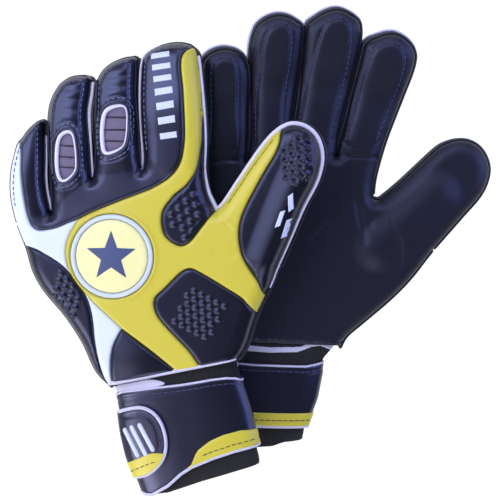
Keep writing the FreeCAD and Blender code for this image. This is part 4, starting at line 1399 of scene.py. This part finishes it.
def hand_edge(glove):
    """Pale binding where the covers on the back meet the stretch band, and a welt on the palm."""
    us = np.linspace(glove.rim[0][0] + 0.6, glove.rim[-1][0] - 0.8, 60)
    line = at_level(us, WRIST_EDGE + 0.2)
    path = at_level(line, glove.height(line, True) + 0.5)
    tube(glove, "hand_edge_binding", path, np.linspace(1.45, 0.9, len(us)), BINDING)
    line = at_level(us, 3.2)
    path = at_level(line, glove.height(line, False) - 0.1)
    tube(glove, "palm_edge_welt", path, 0.9, WELT)


def stripe(glove):
    """Pale stripe woven into the stretch band under the palm, and the fold that shows on the back."""
    table = np.array(STRIPE, float)

    def edge(shift):
        return lambda angles: np.interp(wrist_share(angles), table[:, 0], table[:, 1]) + shift

    band(glove, "elastic_stripe", edge(STRIPE_HALF), edge(-STRIPE_HALF), -0.75, 0.6, BINDING,
         arc=(math.pi + 0.2, 2 * math.pi - 0.05), rows=6, roll=0.6)
    cover(glove, "elastic_fold", glove.line(FOLD_OUTLINE, 1.0, closed=True), BINDING, thick=0.5, roll=0.6,
          step=1.5, sink=0.5, track=False, ground=wrist_skin(glove, -0.9), clip=False)


def closing_tab(glove):
    """Hook-and-loop tab over the back of the strap, drawn from its root at the peel hinge; its pieces are
    baked in place, not peeled.
    """
    shift = np.array([TAB_ROOT_U[glove.side] - TAB_ROOT_U["left"], 0.0])
    outer = smooth_line(np.array(TAB_OUTLINE) + shift, 1.2)
    root = smooth_line(np.array(TAB_BACK) + shift, 1.2)
    lower = smooth_line(np.array(TAB_TRIM) + shift, 1.2)
    common = {"track": False, "clip": False, "on_tab": True}
    tab = cover(glove, "strap_tab", joined(outer, root, step=1.2), BLACK, thick=1.5, roll=1.5, step=1.6,
                sink=0.2, ground=wrist_skin(glove, TAB_LIFT), **common,
                relief=lambda glove, points, depth: -0.4 * hump((depth - 3.6) / 1.0))
    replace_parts(tab[None], f"{glove.side}_strap_tab")
    hook_line = smooth_line(np.array(TAB_HOOK) + shift, 1.5, closed=True)
    hook = cover(glove, "hook_patch", hook_line, HOOK, thick=0.9, roll=0.6, step=2, sink=-0.1,
                 ground=wrist_skin(glove, 0.35), **common)
    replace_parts(hook[None], f"{glove.side}_hook_patch")
    trim = joined(lower, outer[outer[:, 1] < -41.5], [tuple(outer[-1]), tuple(lower[0])], step=1.2)
    cover(glove, "tab_trim", trim, YELLOW, thick=0.7, roll=0.7, step=1.5, sink=0.1,
          ground=wrist_skin(glove, 2.8), **common)
    path = at_level(outer, wrist_skin(glove, 2.1)(outer))[2:-1]
    tube(glove, "tab_binding", path, 1.15, BINDING, on_tab=True)
    for index, ends in enumerate(TAB_BARS):
        line = straight_line(np.array(ends) + shift, 1.2)
        path = at_level(line, wrist_skin(glove, 3.0)(line))
        tube(glove, f"tab_bar_{index}", path, 1.5, SILVER, flat=0.55, on_tab=True)
    inset = smooth_line(grown_open(outer[::3], -MARGIN)[2:-2], 1.3)
    stitches(glove, "tab_threads", [inset], THREAD, height=wrist_skin(glove, 2.95), lift=0.0, on_tab=True)
    across = smooth_line(lower + np.array([0.5, -5.5]), 1.3)[:-3]
    stitches(glove, "tab_trim_threads", [across], DARK_THREAD, radius=0.25,
             height=wrist_skin(glove, 3.5), lift=0.0, on_tab=True)


# ---------------------------------------------------------------- the pair

gloves = {side: Glove(side) for side in ("left", "right")}
for glove in gloves.values():
    for make in (palm_of_hand, back_of_hand, sides_of_hand, piping_of_hand, seam_threads, index_bars,
                 thumb_slashes, palm_threads, wrist, hand_edge, stripe, closing_tab):
        make(glove)


# ---------------------------------------------------------------- floor, light and camera

FLOOR_SIZE = 6
FLOOR_GAP = 0.0002                             # between the floor and the lowest point of the gloves
CAMERA_TARGET = Vector((-0.00107, -0.00092, 0.025))
CAMERA_DISTANCE = 1.15
CAMERA_LENS = 138
LEAN_LEFT, LEAN_UP = math.radians(4), math.radians(5)   # how far the camera leans from straight above
WORLD_COLOR = (0.85, 0.88, 1, 1)
WORLD_STRENGTH = 0.09
# Soft lamps that look at the gloves: place, size, power and colour.
LIGHTS = {
    "left": ((-0.9, 0.45, 0.75), 1.1, 12, (0.8, 0.85, 1)),
    "right": ((0.95, 0.25, 0.55), 0.9, 7.5, (0.45, 0.53, 1)),
    "front": ((-0.1, -0.95, 0.7), 0.8, 5.5, (0.97, 0.96, 1)),
    "behind": ((0.1, 1.0, 0.8), 0.9, 5, (0.8, 0.85, 1)),
    "low_left": ((-0.8, -0.5, 0.5), 0.45, 4, (1, 0.95, 0.93)),
    "fingertips": ((-0.5, 0.5, 1.0), 0.4, 1.1, (0.6, 0.7, 1)),
    "glint": ((-0.62, -0.38, 0.86), 0.16, 0.35, (1, 0.85, 0.8)),
}


def add_floor():
    """Pale glowing floor that lets part of the light behind it through."""
    material = bpy.data.materials.new("pale_floor")
    material.use_nodes = True
    tree = material.node_tree
    glow = tree.nodes.new("ShaderNodeEmission")
    glow.inputs["Color"].default_value = (1, 1, 1, 1)
    glow.inputs["Strength"].default_value = 1.6
    clear = tree.nodes.new("ShaderNodeBsdfTransparent")
    mix = tree.nodes.new("ShaderNodeMixShader")
    mix.inputs["Fac"].default_value = 0.35
    tree.links.new(glow.outputs["Emission"], mix.inputs[1])
    tree.links.new(clear.outputs["BSDF"], mix.inputs[2])
    tree.links.new(mix.outputs["Shader"], tree.nodes["Material Output"].inputs["Surface"])
    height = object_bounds()[0][2] - FLOOR_GAP
    bpy.ops.mesh.primitive_plane_add(size=FLOOR_SIZE, location=(0, 0, height))
    floor = bpy.context.object
    floor.name = "floor"
    floor.data.materials.append(material)


def add_camera():
    camera = bpy.data.objects.new("camera", bpy.data.cameras.new("camera"))
    camera.data.sensor_width = 36
    camera.data.lens = CAMERA_LENS
    away = Vector((-math.tan(LEAN_LEFT), math.tan(LEAN_UP), 1)).normalized()
    camera.location = CAMERA_TARGET + away * CAMERA_DISTANCE
    right = Vector((0, 1, 0)).cross(away).normalized()
    turn = Matrix((right, away.cross(right), away)).transposed()
    camera.rotation_euler = turn.to_euler()
    bpy.context.scene.collection.objects.link(camera)
    bpy.context.scene.camera = camera


def add_lights():
    for name, (place, size, power, color) in LIGHTS.items():
        light = bpy.data.lights.new(name, "AREA")
        light.size = size
        light.energy = power
        light.color = color
        lamp = bpy.data.objects.new(name, light)
        lamp.location = place
        lamp.rotation_euler = (-Vector(place)).to_track_quat("-Z", "Y").to_euler()
        bpy.context.scene.collection.objects.link(lamp)
    world = bpy.data.worlds.new("studio")
    bpy.context.scene.world = world
    world.use_nodes = True
    background = world.node_tree.nodes["Background"]
    background.inputs["Color"].default_value = WORLD_COLOR
    background.inputs["Strength"].default_value = WORLD_STRENGTH


add_floor()
add_camera()
add_lights()
bpy.context.scene.view_settings.view_transform = "Standard"
